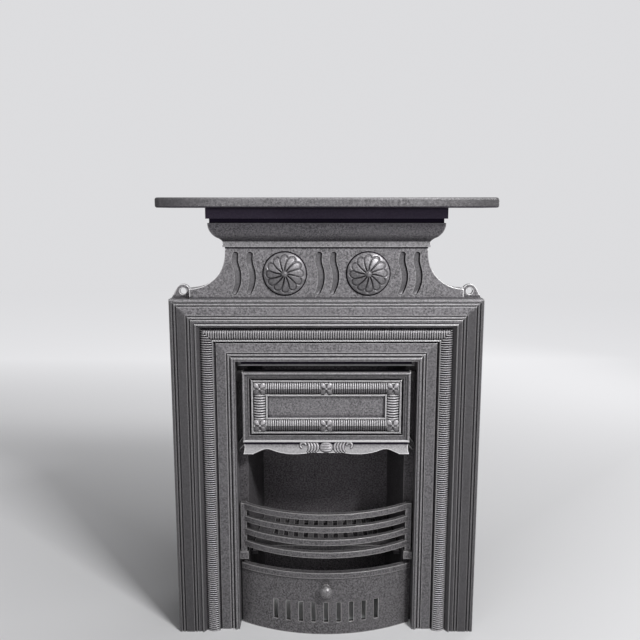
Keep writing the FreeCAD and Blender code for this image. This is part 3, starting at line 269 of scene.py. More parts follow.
def leaded_iron(name, body, ridge, recess, ridge_reach, recess_reach, roughness, metallic, bump,
                placed_light_share=0.0, mottle=1.0):
    """Polished iron with a cast grain, painted shade in its recesses and painted highlights on its polished
    ridges.
    """
    material = bpy.data.materials.new(name)
    material.use_nodes = True
    tree = material.node_tree
    shader = tree.nodes["Principled BSDF"]
    shader.inputs["Specular IOR Level"].default_value = iron_specular
    masks = {}
    for group in (relief, grain, placed_light):
        node = tree.nodes.new("ShaderNodeGroup")
        node.node_tree = group
        masks.update({socket.name: socket for socket in node.outputs})
        if group is relief:
            node.inputs["Edge Radius"].default_value = ridge_reach / 2
            node.inputs["Ridge Reach"].default_value = ridge_reach
            node.inputs["Recess Reach"].default_value = recess_reach
    # Painted highlights on ridges are held back under the by-place dimming and shade and in plain places, and
    # the painted shade in recesses is softened where the by-place dimming already darkens.
    kept = sum_of(tree, "SUBTRACT", 1.0, sum_of(tree, "MULTIPLY", masks["Painted Dimming"], placed_light_share * dimming_loss))
    kept = sum_of(tree, "SUBTRACT", kept, sum_of(tree, "MULTIPLY", masks["Shade"], placed_light_share * shade_loss))
    kept = sum_of(tree, "MAXIMUM", kept, 0.0)
    kept = sum_of(tree, "MULTIPLY", kept, between(tree, masks["Plain"], 0.0, 1.0, 1.0, plain_kept))
    edge_highlight = sum_of(tree, "MULTIPLY", masks["Ridge"], kept)
    softened = between(tree, masks["Painted Dimming"], 0.0, 1.0, 1.0, 1.0 - recess_loss * placed_light_share)
    recessed = sum_of(tree, "MULTIPLY", masks["Recess"], softened)
    colour = tree.nodes.new("ShaderNodeMix")
    colour.data_type = "RGBA"
    colour.inputs["A"].default_value = (*[part * (1 - grain_darkening * mottle) for part in body], 1.0)
    colour.inputs["B"].default_value = (*[part * (1 + grain_lightening * mottle) for part in body], 1.0)
    tree.links.new(masks["Tone"], colour.inputs["Factor"])
    # Colour layers: grain patches and specks, then painted light: by-place dimming, the shelf's painted
    # shadow, painted shade in recesses, painted highlights on ridges and bright places, and dark lines.
    layers = ((masks["Patch"], patch_share, [part * patch_tone for part in body]),
              (masks["Speck"], speck_share, ridge),
              (masks["Painted Dimming"], placed_light_share * dimming_share, [part * dimming_tone for part in body]),
              (masks["Shade"], placed_light_share * shade_share, shade_paint),
              (recessed, 1.0, recess), (edge_highlight, 1.0, ridge), (masks["Bright"], placed_light_share, ridge),
              (masks["Line"], placed_light_share * line_share, line_paint))
    for mask, share, paint in layers:
        mix = tree.nodes.new("ShaderNodeMix")
        mix.data_type = "RGBA"
        tree.links.new(sum_of(tree, "MULTIPLY", mask, share), mix.inputs["Factor"])
        tree.links.new(colour.outputs["Result"], mix.inputs["A"])
        mix.inputs["B"].default_value = (*paint, 1.0)
        colour = mix
    tree.links.new(colour.outputs["Result"], shader.inputs["Base Color"])
    # Under painted shade the iron turns metallic, so that its dark colour also darkens its reflection.
    darkened = sum_of(tree, "MAXIMUM", masks["Shade"], masks["Line"])
    shade_unreflecting = sum_of(tree, "MAXIMUM", recessed, sum_of(tree, "MULTIPLY", darkened, placed_light_share))
    shade_unreflecting = sum_of(tree, "MULTIPLY", shade_unreflecting, sum_of(tree, "SUBTRACT", 1.0, edge_highlight))
    tree.links.new(between(tree, shade_unreflecting, 0.0, 1.0, metallic, shade_metallic), shader.inputs["Metallic"])
    rough = between(tree, masks["Patch"], 0.0, 1.0, roughness + patch_rougher, roughness - patch_smoother)
    rough = sum_of(tree, "SUBTRACT", rough, sum_of(tree, "MULTIPLY", edge_highlight, ridge_polish))
    rough = sum_of(tree, "ADD", rough, sum_of(tree, "MULTIPLY", recessed, recess_dulling))
    tree.links.new(rough, shader.inputs["Roughness"])
    dents = tree.nodes.new("ShaderNodeBump")
    dents.inputs["Strength"].default_value = bump
    dents.inputs["Distance"].default_value = dent_depth
    tree.links.new(masks["Height"], dents.inputs["Height"])
    tree.links.new(masks["Normal"], dents.inputs["Normal"])
    tree.links.new(dents.outputs["Normal"], shader.inputs["Normal"])
    return material


def finish_nodes(material, *names):
    """Give CAD nodes a finish through their material slots."""
    for name in names:
        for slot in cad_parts[name].material_slots:
            slot.material = material


# Its ridge colour is the painted highlight and its recess colour the painted shade, and it takes the painted
# light by place in full.
surround_iron = leaded_iron(
    "surround_black_leaded_iron",
    body=(0.147, 0.141, 0.149), ridge=(1.0, 0.99, 1.0), recess=(0.012, 0.009, 0.014),
    ridge_reach=0.0026, recess_reach=0.007, roughness=0.4, metallic=0.2, bump=0.8, placed_light_share=1.0)
finish_nodes(surround_iron, "front_frame", "frieze_panel", "mantel_shelf")

# Reeding of the frame. Small half-round ribs lie side by side across a convex band of the
# moulding, cast with it in iron. They are polished on top, painted shade lies black between
# them, and the runs meet in mitres at the two upper corners.
line_index, under_index, jamb_index = 1, 2, 3
band_steps = 6
rib_sides = 4
rib_root = 0.001
mitre_gap = 0.00002
quarter_turn = Matrix.Rotation(math.pi / 2, 3, "Y")


def close_rims(mesh):
    """Fill every open rim of a shape with a face."""
    bmesh.ops.holes_fill(mesh, edges=[edge for edge in mesh.edges if edge.is_boundary], sides=0)


def over_band(section, band_width, band_rise):
    """A closed solid: a section of heights and places along Z, swept over a convex band that faces -Y."""
    radius = (band_width ** 2 / 4 + band_rise ** 2) / (2 * band_rise)
    half_turn = math.asin(band_width / 2 / radius)
    mesh = bmesh.new()
    corners = [mesh.verts.new((0.0, -radius - height, place)) for height, place in section]
    edges = [mesh.edges.new(pair) for pair in zip(corners, corners[1:] + corners[:1])]
    bmesh.ops.rotate(mesh, verts=corners, cent=(0, 0, 0), matrix=Matrix.Rotation(-half_turn, 3, "Z"))
    bmesh.ops.spin(mesh, geom=corners + edges, cent=(0, 0, 0), axis=(0, 0, 1), angle=2 * half_turn,
                   steps=band_steps)
    close_rims(mesh)
    bmesh.ops.translate(mesh, verts=mesh.verts, vec=(0, radius - band_rise, 0))
    return mesh


def joined(shapes):
    """Several bmeshes as one."""
    whole = bmesh.new()
    for shape in shapes:
        part = bpy.data.meshes.new("part")
        shape.to_mesh(part)
        shape.free()
        whole.from_mesh(part)
        bpy.data.meshes.remove(part)
    return whole


def run_of_ribs(pitch, length, band_width, band_rise, rib_height, half_share=0.4):
    """Half-round ribs set side by side along Z from the origin, on a bed of painted shade between them."""
    count = round(length / pitch)
    step = length / count
    half = step * half_share
    turns = [math.pi * number / rib_sides for number in range(rib_sides + 1)]
    section = [(rib_height * math.sin(turn), half * math.cos(turn)) for turn in turns]
    section[0] = (-rib_root, half)
    section[-1] = (-rib_root, -half)
    mesh = over_band(section, band_width, band_rise)
    bmesh.ops.translate(mesh, verts=mesh.verts, vec=(0, 0, step / 2))
    first = mesh.verts[:] + mesh.edges[:] + mesh.faces[:]
    for number in range(1, count):
        copy = bmesh.ops.duplicate(mesh, geom=first)
        copied = [part for part in copy["geom"] if isinstance(part, bmesh.types.BMVert)]
        bmesh.ops.translate(mesh, verts=copied, vec=(0, 0, step * number))
    bed = over_band([(0, 0), (0, length), (-rib_root, length), (-rib_root, 0)], band_width, band_rise)
    for face in bed.faces:
        face.material_index = line_index
    return joined([mesh, bed])


def darken_ends(mesh, low, high=math.inf):
    """Give raised shapes painted shade: the darker iron below a low level, and the black line iron above a
    high one.
    """
    for face in mesh.faces:
        level = face.calc_center_median().z
        if face.material_index == 0 and level < low:
            face.material_index = under_index
        if face.material_index == 0 and level > high:
            face.material_index = line_index


def mitre(mesh, corner, outward):
    """Cut a run of ribs a hair short of a slanting plane and close the cut."""
    short = Vector(corner) - Vector(outward).normalized() * mitre_gap
    bmesh.ops.bisect_plane(mesh, geom=mesh.verts[:] + mesh.edges[:] + mesh.faces[:], plane_co=short,
                           plane_no=outward, clear_outer=True)
    close_rims(mesh)


def make_piece(name, mesh, materials, body):
    """Turn a bmesh into a piece that rides on a body."""
    bmesh.ops.recalc_face_normals(mesh, faces=mesh.faces)
    data = bpy.data.meshes.new(name)
    mesh.to_mesh(data)
    mesh.free()
    for material in materials:
        data.materials.append(material)
    data.shade_smooth()
    piece = bpy.data.objects.new(name, data)
    bpy.context.scene.collection.objects.link(piece)
    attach(piece, body)


frame_low, frame_high = (Vector(corner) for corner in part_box("front_frame"))
crest_rise = 0.0018
face_y = frame_low.y + crest_rise
reed_inset = 0.0595
reed_width = 0.0235
reed_rise = 0.0056
reed_pitch = 0.0046
reed_height = 0.002
reed_setback = 0.0081
reed_y = face_y + reed_setback
reed_middle = reed_inset + reed_width / 2
reed_x = frame_high.x - reed_middle
reed_z = frame_high.z - reed_middle
jamb_share = 0.22
head_dark_below = 0.003
head_black_above = 0.0085
frame_runs = []
for side in (-1, 1):
    jamb = run_of_ribs(reed_pitch, reed_z + reed_width / 2, reed_width, reed_rise, reed_height, jamb_share)
    bmesh.ops.translate(jamb, verts=jamb.verts, vec=(reed_x * side, reed_y, 0))
    mitre(jamb, (reed_x * side, 0, reed_z), (side * -1, 0, 1))
    # Painted light: the jambs' ribs take a lighter copy of the rib iron.
    for face in jamb.faces:
        if face.material_index == 0:
            face.material_index = jamb_index
    frame_runs.append(jamb)
head = run_of_ribs(reed_pitch, 2 * reed_x + reed_width, reed_width, reed_rise, reed_height)
bmesh.ops.rotate(head, verts=head.verts, cent=(0, 0, 0), matrix=quarter_turn)
bmesh.ops.translate(head, verts=head.verts, vec=(-reed_x - reed_width / 2, reed_y, reed_z))
# Painted shade on the head's ribs: darker on their lower part, and black where the crest's shadow falls on
# their upper ends.
darken_ends(head, reed_z - head_dark_below, reed_z + head_black_above)
for side in (-1, 1):
    mitre(head, (reed_x * side, 0, reed_z), (side, 0, -1))
frame_runs.append(head)
rib_finish = dict(recess=(0.008, 0.006, 0.009), ridge_reach=0.0006, recess_reach=0.0026,
                  metallic=0.15, bump=0.1, mottle=0.35)
reeding_iron = leaded_iron("reeding_black_leaded_iron", body=(0.27, 0.262, 0.272), ridge=(0.75, 0.74, 0.75),
                           roughness=0.36, **rib_finish)
# A near-black iron for painted shade: rib beds, black ends of ribs, flute sides and dark outlines.
painted_shade_iron = leaded_iron(
    "painted_shade_line_iron", body=(0.014, 0.011, 0.015), ridge=(0.02, 0.018, 0.021), recess=(0.006, 0.005, 0.007),
    ridge_reach=0.0012, recess_reach=0.004, roughness=0.6, metallic=0.8, bump=0.3)
# A darker copy of the rib iron: painted shade on faces turned down.
shaded_under_iron = leaded_iron("underside_painted_shade_iron", body=(0.125, 0.12, 0.126), ridge=(0.45, 0.44, 0.45),
                         roughness=0.45, **rib_finish)
# A lighter copy of the rib iron: painted light on the jambs' ribs.
lit_jamb_iron = leaded_iron("jamb_reeding_painted_light_iron", body=(0.36, 0.35, 0.363), ridge=(0.8, 0.79, 0.8),
                        roughness=0.36, **rib_finish)
make_piece("frame_reeding", joined(frame_runs), (reeding_iron, painted_shade_iron, shaded_under_iron, lit_jamb_iron), "surround")

# Rosettes of the frieze. Each is a domed flower of swirled petals with a plain rim round
# it, cast in one with the iron panel. The ball in its middle belongs to the solid below.
rosette_reach = 0.042
rosette_rise = 0.011
rosette_lift = 0.0004
rosette_x = 0.0805
frieze_setback = 0.010
frieze_y = face_y + frieze_setback
ball_reach = 0.004
dome_steps = 31
rim_width = 0.0012
rim_root = 0.001
rim_height = 0.0008
rim_flat = 0.001
rim_line = 0.0013
petal_count = 12
petal_steps = 20
petal_swirl = math.radians(17)
petal_height = 0.0028
petal_groove = 0.0012
petal_shoulder = 0.0285
shaded_petal_index = 2
shaded_petal_side = -0.2
merge_gap = 0.00001
dome_radius = (rosette_reach ** 2 + rosette_rise ** 2) / (2 * rosette_rise)


def dome_height(reach):
    """How far the domed flower stands out of the panel at a reach from its middle."""
    return math.sqrt(dome_radius ** 2 - reach ** 2) - dome_radius + rosette_rise


def petal_part(reach, angle):
    """How many petals lie before a place, counted round the flower along the petals' swirl."""
    return (angle + petal_swirl * reach / rosette_reach) / (2 * math.pi) * petal_count


def petal_rise(reach, angle):
    """How far the carved flower stands above the dome: lowest in the lines that outline its petals."""
    aside = abs(petal_part(reach, angle) % 1.0 - 0.5) * 2 * math.pi / petal_count
    half_width = min(reach, petal_shoulder) * math.pi / petal_count
    if reach < petal_shoulder:
        inside = half_width - aside * reach
    else:
        inside = half_width - math.hypot(reach - petal_shoulder, aside * reach)
    return petal_height * (1 - math.exp(-(inside / petal_groove) ** 2))


rosette_finish = dict(recess=(0.008, 0.006, 0.009), ridge_reach=0.0012, recess_reach=0.005,
                      metallic=0.2, bump=0.3, mottle=0.6)
rosette_iron = leaded_iron("rosette_black_leaded_iron", body=(0.2, 0.193, 0.203), ridge=(0.24, 0.232, 0.243),
                           roughness=0.36, **rosette_finish)
# A darker copy of the rosette iron: painted shade on the lower petals.
shaded_petal_iron = leaded_iron("rosette_painted_shade_iron", body=(0.135, 0.13, 0.137), ridge=(0.16, 0.154, 0.162),
                          roughness=0.4, **rosette_finish)
for word, side in (("left", -1), ("right", 1)):
    rosette = bmesh.new()
    outline = [(rosette_reach + rim_width, -rim_root), (rosette_reach + rim_width, rim_height)]
    for number in range(dome_steps + 1):
        reach = rosette_reach - (rosette_reach - ball_reach) * number / dome_steps
        outline.append((reach, dome_height(reach) + rosette_lift))
    points = [rosette.verts.new((reach, -height, 0)) for reach, height in outline]
    lines = [rosette.edges.new(pair) for pair in zip(points, points[1:])]
    bmesh.ops.spin(rosette, geom=points + lines, cent=(0, 0, 0), axis=(0, 1, 0), angle=2 * math.pi,
                   steps=petal_count * petal_steps, use_merge=True)
    for vert in rosette.verts:
        reach = math.hypot(vert.co.x, vert.co.z)
        if reach < rosette_reach - rim_flat:
            vert.co.y -= petal_rise(reach, math.atan2(vert.co.z, vert.co.x))
    bmesh.ops.remove_doubles(rosette, verts=rosette.verts, dist=merge_gap)
    close_rims(rosette)
    # Painted shade: a dark ring round the rim, and the lower petals darker.
    for face in rosette.faces:
        centre = face.calc_center_median()
        reach = math.hypot(centre.x, centre.z)
        petal_middle = math.floor(petal_part(reach, math.atan2(centre.z, centre.x))) + 0.5
        if reach > rosette_reach - rim_line:
            face.material_index = line_index
        elif math.sin(petal_middle * 2 * math.pi / petal_count) < shaded_petal_side:
            face.material_index = shaded_petal_index
    bmesh.ops.translate(rosette, verts=rosette.verts, vec=(rosette_x * side, frieze_y, rosette_z))
    make_piece("rosette_" + word, rosette, (rosette_iron, painted_shade_iron, shaded_petal_iron), "surround")

# Flutes of the frieze. Six S-shaped channels in three pairs are cast into the iron panel.
# Each is hollowed deepest towards its right side, and its lower end is scooped out to the face.
# The right side and the top end carry black painted shade.
flute_reach = 0.161
flute_pitch = 0.028
flute_height = 0.084
flute_depth = 0.0042
flute_clear = 0.0003
flute_back = 0.0048
flute_columns = 12
flute_rows = 40
flute_end = 0.05
flute_tip = 0.004
scoop_top = 0.07
scoop_foot = 0.16
hollow_left = 1.4
hollow_right = 0.5
hollow_peak = 1.25
black_top = 0.94
black_right = 0.68
black_foot = -0.9
mark_unit = 0.001
flute_left = ((0.05, -5.4), (0.2, -7.4), (0.38, -3.8), (0.6, -1.6), (0.95, -8.0))
flute_right = ((0.05, 5.4), (0.2, 4.7), (0.36, 7.8), (0.58, 10.5), (0.95, 2.1))


def along_arcs(marks, share):
    """Where two arcs that meet at the third mark lie at a share of the way down."""
    three = marks[:3] if share < marks[2][0] else marks[2:]
    total = 0.0
    for here, place in three:
        weight = 1.0
        for other, _ in three:
            if other != here:
                weight *= (share - other) / (here - other)
        total += place * weight
    return total * mark_unit


flute_iron = leaded_iron(
    "flute_black_leaded_iron",
    body=(0.11, 0.106, 0.112), ridge=(0.11, 0.106, 0.112), recess=(0.008, 0.006, 0.009),
    ridge_reach=0.0004, recess_reach=0.005, roughness=0.42, metallic=0.2, bump=0.2, mottle=0.5)
channels = []
for pair in (-1, 0, 1):
    for half in (-0.5, 0.5):
        channel = bmesh.new()
        bmesh.ops.create_grid(channel, x_segments=flute_columns, y_segments=flute_rows, size=1.0)
        for face in channel.faces:
            centre = face.calc_center_median()
            # Painted shade: the top end and the right side of the channel are black.
            if centre.y > black_top or centre.x > black_right and centre.y > black_foot:
                face.material_index = line_index
        for vert in channel.verts:
            share = 0.5 - vert.co.y / 2
            held = min(1 - flute_end, max(flute_end, share))
            left, right = along_arcs(flute_left, held), along_arcs(flute_right, held)
            closing = math.sqrt(max(flute_tip, 1 - (abs(share - held) / flute_end) ** 2))
            offset = (right - left) / 2 * closing * vert.co.x
            scoop = min(1.0, share / scoop_top) * min(1.0, (1.0 - share) / scoop_foot)
            hollow = max(0.0, 1 + vert.co.x) ** hollow_left * max(0.0, 1 - vert.co.x) ** hollow_right
            depth = flute_depth * hollow / hollow_peak * math.sin(max(0.0, scoop) * math.pi / 2)
            across = flute_reach * pair + flute_pitch * half + (left + right) / 2 + offset
            upward = rosette_z + flute_height * (0.5 - share)
            vert.co = Vector((across, frieze_y + flute_clear + depth, upward))
        rim = [edge for edge in channel.edges if edge.is_boundary]
        walls = bmesh.ops.extrude_edge_only(channel, edges=rim)["geom"]
        for part in walls:
            if isinstance(part, bmesh.types.BMVert):
                part.co.y = frieze_y + flute_back
        close_rims(channel)
        channels.append(channel)
make_piece("frieze_flutes", joined(channels), (flute_iron, painted_shade_iron), "surround")

# Smoke hood. A moulded iron tray, black-leaded, that hangs by its pegs and swings forward at the
# foot. It is cast with a reeded border, flower blocks, a plain panel and a scrolled skirt.
# Its ridge colour is the painted highlight and its recess colour the painted shade. It takes the painted
# light by place in full: a dimmed sloping border, a black top face, a bright foot and a skirt lighter towards
# its lower edge.
hood_iron = leaded_iron(
    "hood_black_leaded_iron",
    body=(0.132, 0.127, 0.134), ridge=(0.88, 0.87, 0.88), recess=(0.014, 0.011, 0.016),
    ridge_reach=0.0022, recess_reach=0.006, roughness=0.38, metallic=0.2, bump=0.6, placed_light_share=1.0)
finish_nodes(hood_iron, "smoke_hood")
hood_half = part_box("smoke_hood")[1][0]
hood_top = 0.5535
hood_bottom = 0.4095
hood_y = -0.07325
border_iron = leaded_iron("border_black_leaded_iron", body=(0.42, 0.41, 0.423), ridge=(0.8, 0.79, 0.8),
                          roughness=0.34, **rib_finish)
border_inset = 0.034
border_width = 0.0245
border_rise = 0.0072
border_setback = 0.0113
border_y = hood_y + border_setback
block_width = 0.023
block_x = hood_half - border_inset
block_low = hood_bottom + border_inset
block_high = hood_top - border_inset
rail_length = block_x - block_width
rail_pitch = 0.00445
rail_rib_height = 0.0017
rail_dark_below = 0.002
stile_length = block_high - block_low - block_width
stile_pitch = 0.0052
stile_rib_height = 0.0018
stile_share = 0.33
hood_runs = []
for level in (block_low, block_high):
    for side in (-1, 1):
        rail = run_of_ribs(rail_pitch, rail_length, border_width, border_rise, rail_rib_height)
        bmesh.ops.rotate(rail, verts=rail.verts, cent=(0, 0, 0), matrix=quarter_turn)
        start = block_width / 2 if side > 0 else block_width / 2 - block_x
        bmesh.ops.translate(rail, verts=rail.verts, vec=(start, border_y, level))
        # Painted shade: the rails' ribs are darker on their lower part.
        darken_ends(rail, level - rail_dark_below)
        hood_runs.append(rail)
for side in (-1, 1):
    stile = run_of_ribs(stile_pitch, stile_length, border_width, border_rise, stile_rib_height, stile_share)
    bmesh.ops.translate(stile, verts=stile.verts, vec=(block_x * side, border_y, block_low + block_width / 2))
    hood_runs.append(stile)
make_piece("hood_reeding", joined(hood_runs), (border_iron, painted_shade_iron, shaded_under_iron), "hood")

# Flower blocks of the hood. Each square block carries four broad petals set crosswise round a
# ball. They sit in the border's corners and at the middle of its rails, cast with the hood.
ball_sides = 12
ball_rings = 8
petal_copies = 3
petal_broadening = 0.62
petal_root_height = 1.25
petal_tip_fall = 0.6
line_depth = 0.0003
bloom_line = 0.0006
bloom_ball = 0.0026
bloom_ball_lift = 0.0014
bloom_dark_below = 0.001
block_setback = 0.0041
block_face = hood_y + block_setback


def add_petal(mesh, inner, outer, width, height, narrow):
    """Add a teardrop petal that lies along X from an inner to an outer reach and stands up towards -Y."""
    ball = bmesh.ops.create_uvsphere(mesh, u_segments=ball_sides, v_segments=ball_rings, radius=1.0)
    for vert in ball["verts"]:
        along = (vert.co.x + 1) / 2
        broad = narrow + (1 - narrow) * math.sin(along * math.pi * petal_broadening)
        rise = vert.co.y * height * (petal_root_height - petal_tip_fall * along)
        vert.co = Vector((inner + (outer - inner) * along, rise, vert.co.z * width / 2 * broad))


def outline_of(shape, width):
    """A dark line of painted shade round a raised shape: a flat, wider copy of it."""
    flat = shape.copy()
    bmesh.ops.recalc_face_normals(flat, faces=flat.faces)
    widened = [vert.co + vert.normal * width for vert in flat.verts]
    for vert, place in zip(flat.verts, widened):
        vert.co = Vector((place.x, max(-line_depth, min(line_depth, place.y)), place.z))
    for face in flat.faces:
        face.material_index = line_index
    return flat


petal_iron = leaded_iron(
    "petal_black_leaded_iron", body=(0.34, 0.33, 0.343), ridge=(0.5, 0.49, 0.5), recess=(0.01, 0.008, 0.011),
    ridge_reach=0.0008, recess_reach=0.003, roughness=0.34, metallic=0.2, bump=0.2, mottle=0.4)
eighth_turn = Matrix.Rotation(math.pi / 4, 3, "Y")
blocks = []
for column in (-1, 0, 1):
    for level in (block_low, block_high):
        bloom = bmesh.new()
        add_petal(bloom, inner=0.0005, outer=0.0156, width=0.011, height=0.0038, narrow=0.2)
        bmesh.ops.rotate(bloom, verts=bloom.verts, cent=(0, 0, 0), matrix=eighth_turn)
        petal = bloom.verts[:] + bloom.edges[:] + bloom.faces[:]
        bmesh.ops.spin(bloom, geom=petal, cent=(0, 0, 0), axis=(0, 1, 0),
                       angle=2 * math.pi * petal_copies / (petal_copies + 1), steps=petal_copies,
                       use_duplicate=True)
        # A flat dark outline of painted shade round the petals.
        shade_outline = outline_of(bloom, bloom_line)
        ball = bmesh.ops.create_uvsphere(bloom, u_segments=ball_sides, v_segments=ball_rings,
                                         radius=bloom_ball)
        bmesh.ops.translate(bloom, verts=ball["verts"], vec=(0, -bloom_ball_lift, 0))
        for shape in (shade_outline, bloom):
            bmesh.ops.translate(shape, verts=shape.verts, vec=(block_x * column, block_face, level))
            # Painted shade: the petals are darker on their lower part.
            darken_ends(shape, level - bloom_dark_below)
            blocks.append(shape)
make_piece("hood_flowers", joined(blocks), (petal_iron, painted_shade_iron, shaded_under_iron), "hood")

# Carving of the hood's skirt. A ribbed oval boss hangs in the middle, and on each side
# crescents close round the end of a scroll, all cast on the skirt's leaning iron face.
skirt_lean = math.radians(18)
skirt_thickness = 0.007
skirt_setback = 0.003
skirt_foot = Vector((0, hood_y + skirt_setback + skirt_thickness, hood_bottom))
skirt_out = Vector((0, -math.cos(skirt_lean), math.sin(skirt_lean)))
skirt_face = skirt_foot + skirt_out * skirt_thickness
skirt_place = Matrix.Translation(skirt_face) @ Matrix.Rotation(skirt_lean * -1, 4, "X")
carving_level = -0.0122
carving_line = 0.0008
boss_sides = 32
boss_rings = 40
boss_reach = 0.0132
boss_rise = 0.0058
boss_height = 0.0102
boss_leaves = 4
leaf_groove = 0.4
leaf_sharpness = 3
bar_sides = 8
crescent_places = (0.0165, 0.0222, 0.0279, 0.0336)
crescent_reach = 0.0125
crescent_radius = 0.0027
crescent_turn = math.radians(52)
crescent_steps = 16
crescent_tip = 0.45
volute_reach = 0.0055
volute_radius = 0.0021
volute_turn = math.radians(250)
volute_steps = 24
volute_x = 0.0465
volute_level = -0.0085


def bent_bar(radius, reach, start, turn, steps):
    """A round bar that is bent round the Y axis at a reach, from a start angle through a turn."""
    bar = bmesh.new()
    ring = bmesh.ops.create_circle(bar, segments=bar_sides, radius=radius)["verts"]
    bmesh.ops.translate(bar, verts=ring, vec=(reach, 0, 0))
    bmesh.ops.rotate(bar, verts=ring, cent=(0, 0, 0), matrix=Matrix.Rotation(start, 3, "Y"))
    bmesh.ops.spin(bar, geom=bar.verts[:] + bar.edges[:], cent=(0, 0, 0), axis=(0, 1, 0), angle=turn,
                   steps=steps)
    close_rims(bar)
    return bar


boss = bmesh.new()
bmesh.ops.create_uvsphere(boss, u_segments=boss_sides, v_segments=boss_rings, radius=1.0)
for vert in boss.verts:
    leaf = 1 - leaf_groove * (0.5 + 0.5 * math.cos(vert.co.z * math.pi * boss_leaves)) ** leaf_sharpness
    vert.co = Vector((vert.co.x * boss_reach, vert.co.y * boss_rise * leaf,
                      vert.co.z * boss_height + carving_level))
carvings = [boss]
for side in (-1, 1):
    for place in crescent_places:
        crescent = bent_bar(crescent_radius, crescent_reach, crescent_turn, -2 * crescent_turn,
                            crescent_steps)
        for vert in crescent.verts:
            turned = math.atan2(vert.co.z, vert.co.x) / crescent_turn
            taper = crescent_tip + (1 - crescent_tip) * math.cos(turned * math.pi / 2)
            bar_middle = Vector((vert.co.x, 0, vert.co.z)).normalized() * crescent_reach
            vert.co = bar_middle + (vert.co - bar_middle) * taper
        bmesh.ops.scale(crescent, verts=crescent.verts, vec=(-side, 1, 1))
        bmesh.ops.translate(crescent, verts=crescent.verts,
                            vec=((place + crescent_reach) * side, 0, carving_level))
        carvings.append(crescent)
    volute = bent_bar(volute_radius, volute_reach, 0.0, -volute_turn, volute_steps)
    bmesh.ops.scale(volute, verts=volute.verts, vec=(-side, 1, 1))
    bmesh.ops.translate(volute, verts=volute.verts, vec=(volute_x * side, 0, volute_level))
    carvings.append(volute)
# Each carving gets a flat dark outline of painted shade round it.
carving = joined([outline_of(shape, carving_line) for shape in carvings] + carvings)
bmesh.ops.transform(carving, matrix=skirt_place, verts=carving.verts)
make_piece("skirt_carving", carving, (petal_iron, painted_shade_iron), "hood")

# Pegs, hooks and rests that carry the hood, and the ash cover's knob. They are small iron
# pieces. Pegs, knob and the rests' edges are rubbed bright by use, and the hooks, screwed on
# behind the hood's corners, are black with soot.
hardware_iron = leaded_iron(
    "rubbed_hardware_iron", body=(0.16, 0.155, 0.16), ridge=(0.6, 0.59, 0.58), recess=(0.02, 0.018, 0.02),
    ridge_reach=0.0012, recess_reach=0.004, roughness=0.4, metallic=0.4, bump=0.3)
finish_nodes(hardware_iron, "hood_pegs", "ash_cover_knob")
sooty_iron = leaded_iron(
    "sooty_hardware_iron", body=(0.02, 0.019, 0.02), ridge=(0.05, 0.048, 0.049), recess=(0.006, 0.005, 0.006),
    ridge_reach=0.0012, recess_reach=0.006, roughness=0.7, metallic=0.7, bump=0.5)
finish_nodes(sooty_iron, "hood_hook_left", "hood_hook_right")
rest_iron = leaded_iron(
    "rubbed_rest_iron", body=(0.03, 0.028, 0.03), ridge=(0.6, 0.59, 0.6), recess=(0.006, 0.005, 0.006),
    ridge_reach=0.002, recess_reach=0.006, roughness=0.5, metallic=0.4, bump=0.5)
finish_nodes(rest_iron, "hood_rest_left", "hood_rest_right")

# Fire chamber: cheeks, back, throat plate and damper. They are plain iron castings, left as
# they came from the sand and black with soot. They are bolted to the frame and to each
# other, and the damper turns on its rod.
chamber_finish = dict(ridge_reach=0.002, recess_reach=0.012, roughness=0.65, metallic=0.4, bump=0.6)
fire_iron = leaded_iron("sooty_fire_iron", body=(0.155, 0.144, 0.155), ridge=(0.2, 0.19, 0.196),
                        recess=(0.01, 0.009, 0.01), **chamber_finish)
finish_nodes(fire_iron, "fire_back")
finish_nodes(sooty_iron, "throat_plate", "damper_flap")
cheek_iron = leaded_iron("sooty_cheek_iron", body=(0.08, 0.075, 0.08), ridge=(0.12, 0.115, 0.12),
                         recess=(0.008, 0.007, 0.008), **chamber_finish)
finish_nodes(cheek_iron, "cheek_left", "cheek_right")

# Fire front, bottom grate, ash cover and the sockets of the bars. They are iron castings,
# black-leaded and worn by the fire. The sockets are screwed to the cheeks from behind, and
# the other three are loose, so that they lift or pull out.
grate_iron = leaded_iron(
    "worn_grate_iron", body=(0.11, 0.105, 0.11), ridge=(0.42, 0.41, 0.41), recess=(0.015, 0.013, 0.014),
    ridge_reach=0.002, recess_reach=0.007, roughness=0.45, metallic=0.4, bump=0.6)
finish_nodes(grate_iron, "fire_front", "bottom_grate", "ash_cover", "bar_socket_left", "bar_socket_right")

# Bolts, nuts, screws and the damper's rod. They are of dark oiled steel and hold the castings
# together from behind, where the front doesn't show them.
fixing_steel = leaded_iron(
    "dark_fixing_steel", body=(0.14, 0.132, 0.128), ridge=(0.45, 0.44, 0.43), recess=(0.02, 0.018, 0.017),
    ridge_reach=0.001, recess_reach=0.004, roughness=0.45, metallic=0.6, bump=0.3)
finish_nodes(fixing_steel, "shelf_bolts", "frieze_bolts", "frieze_nuts", "hook_screws", "cheek_bolts",
             "back_bolts", "back_nuts", "throat_bolts", "damper_rod", "socket_screws")

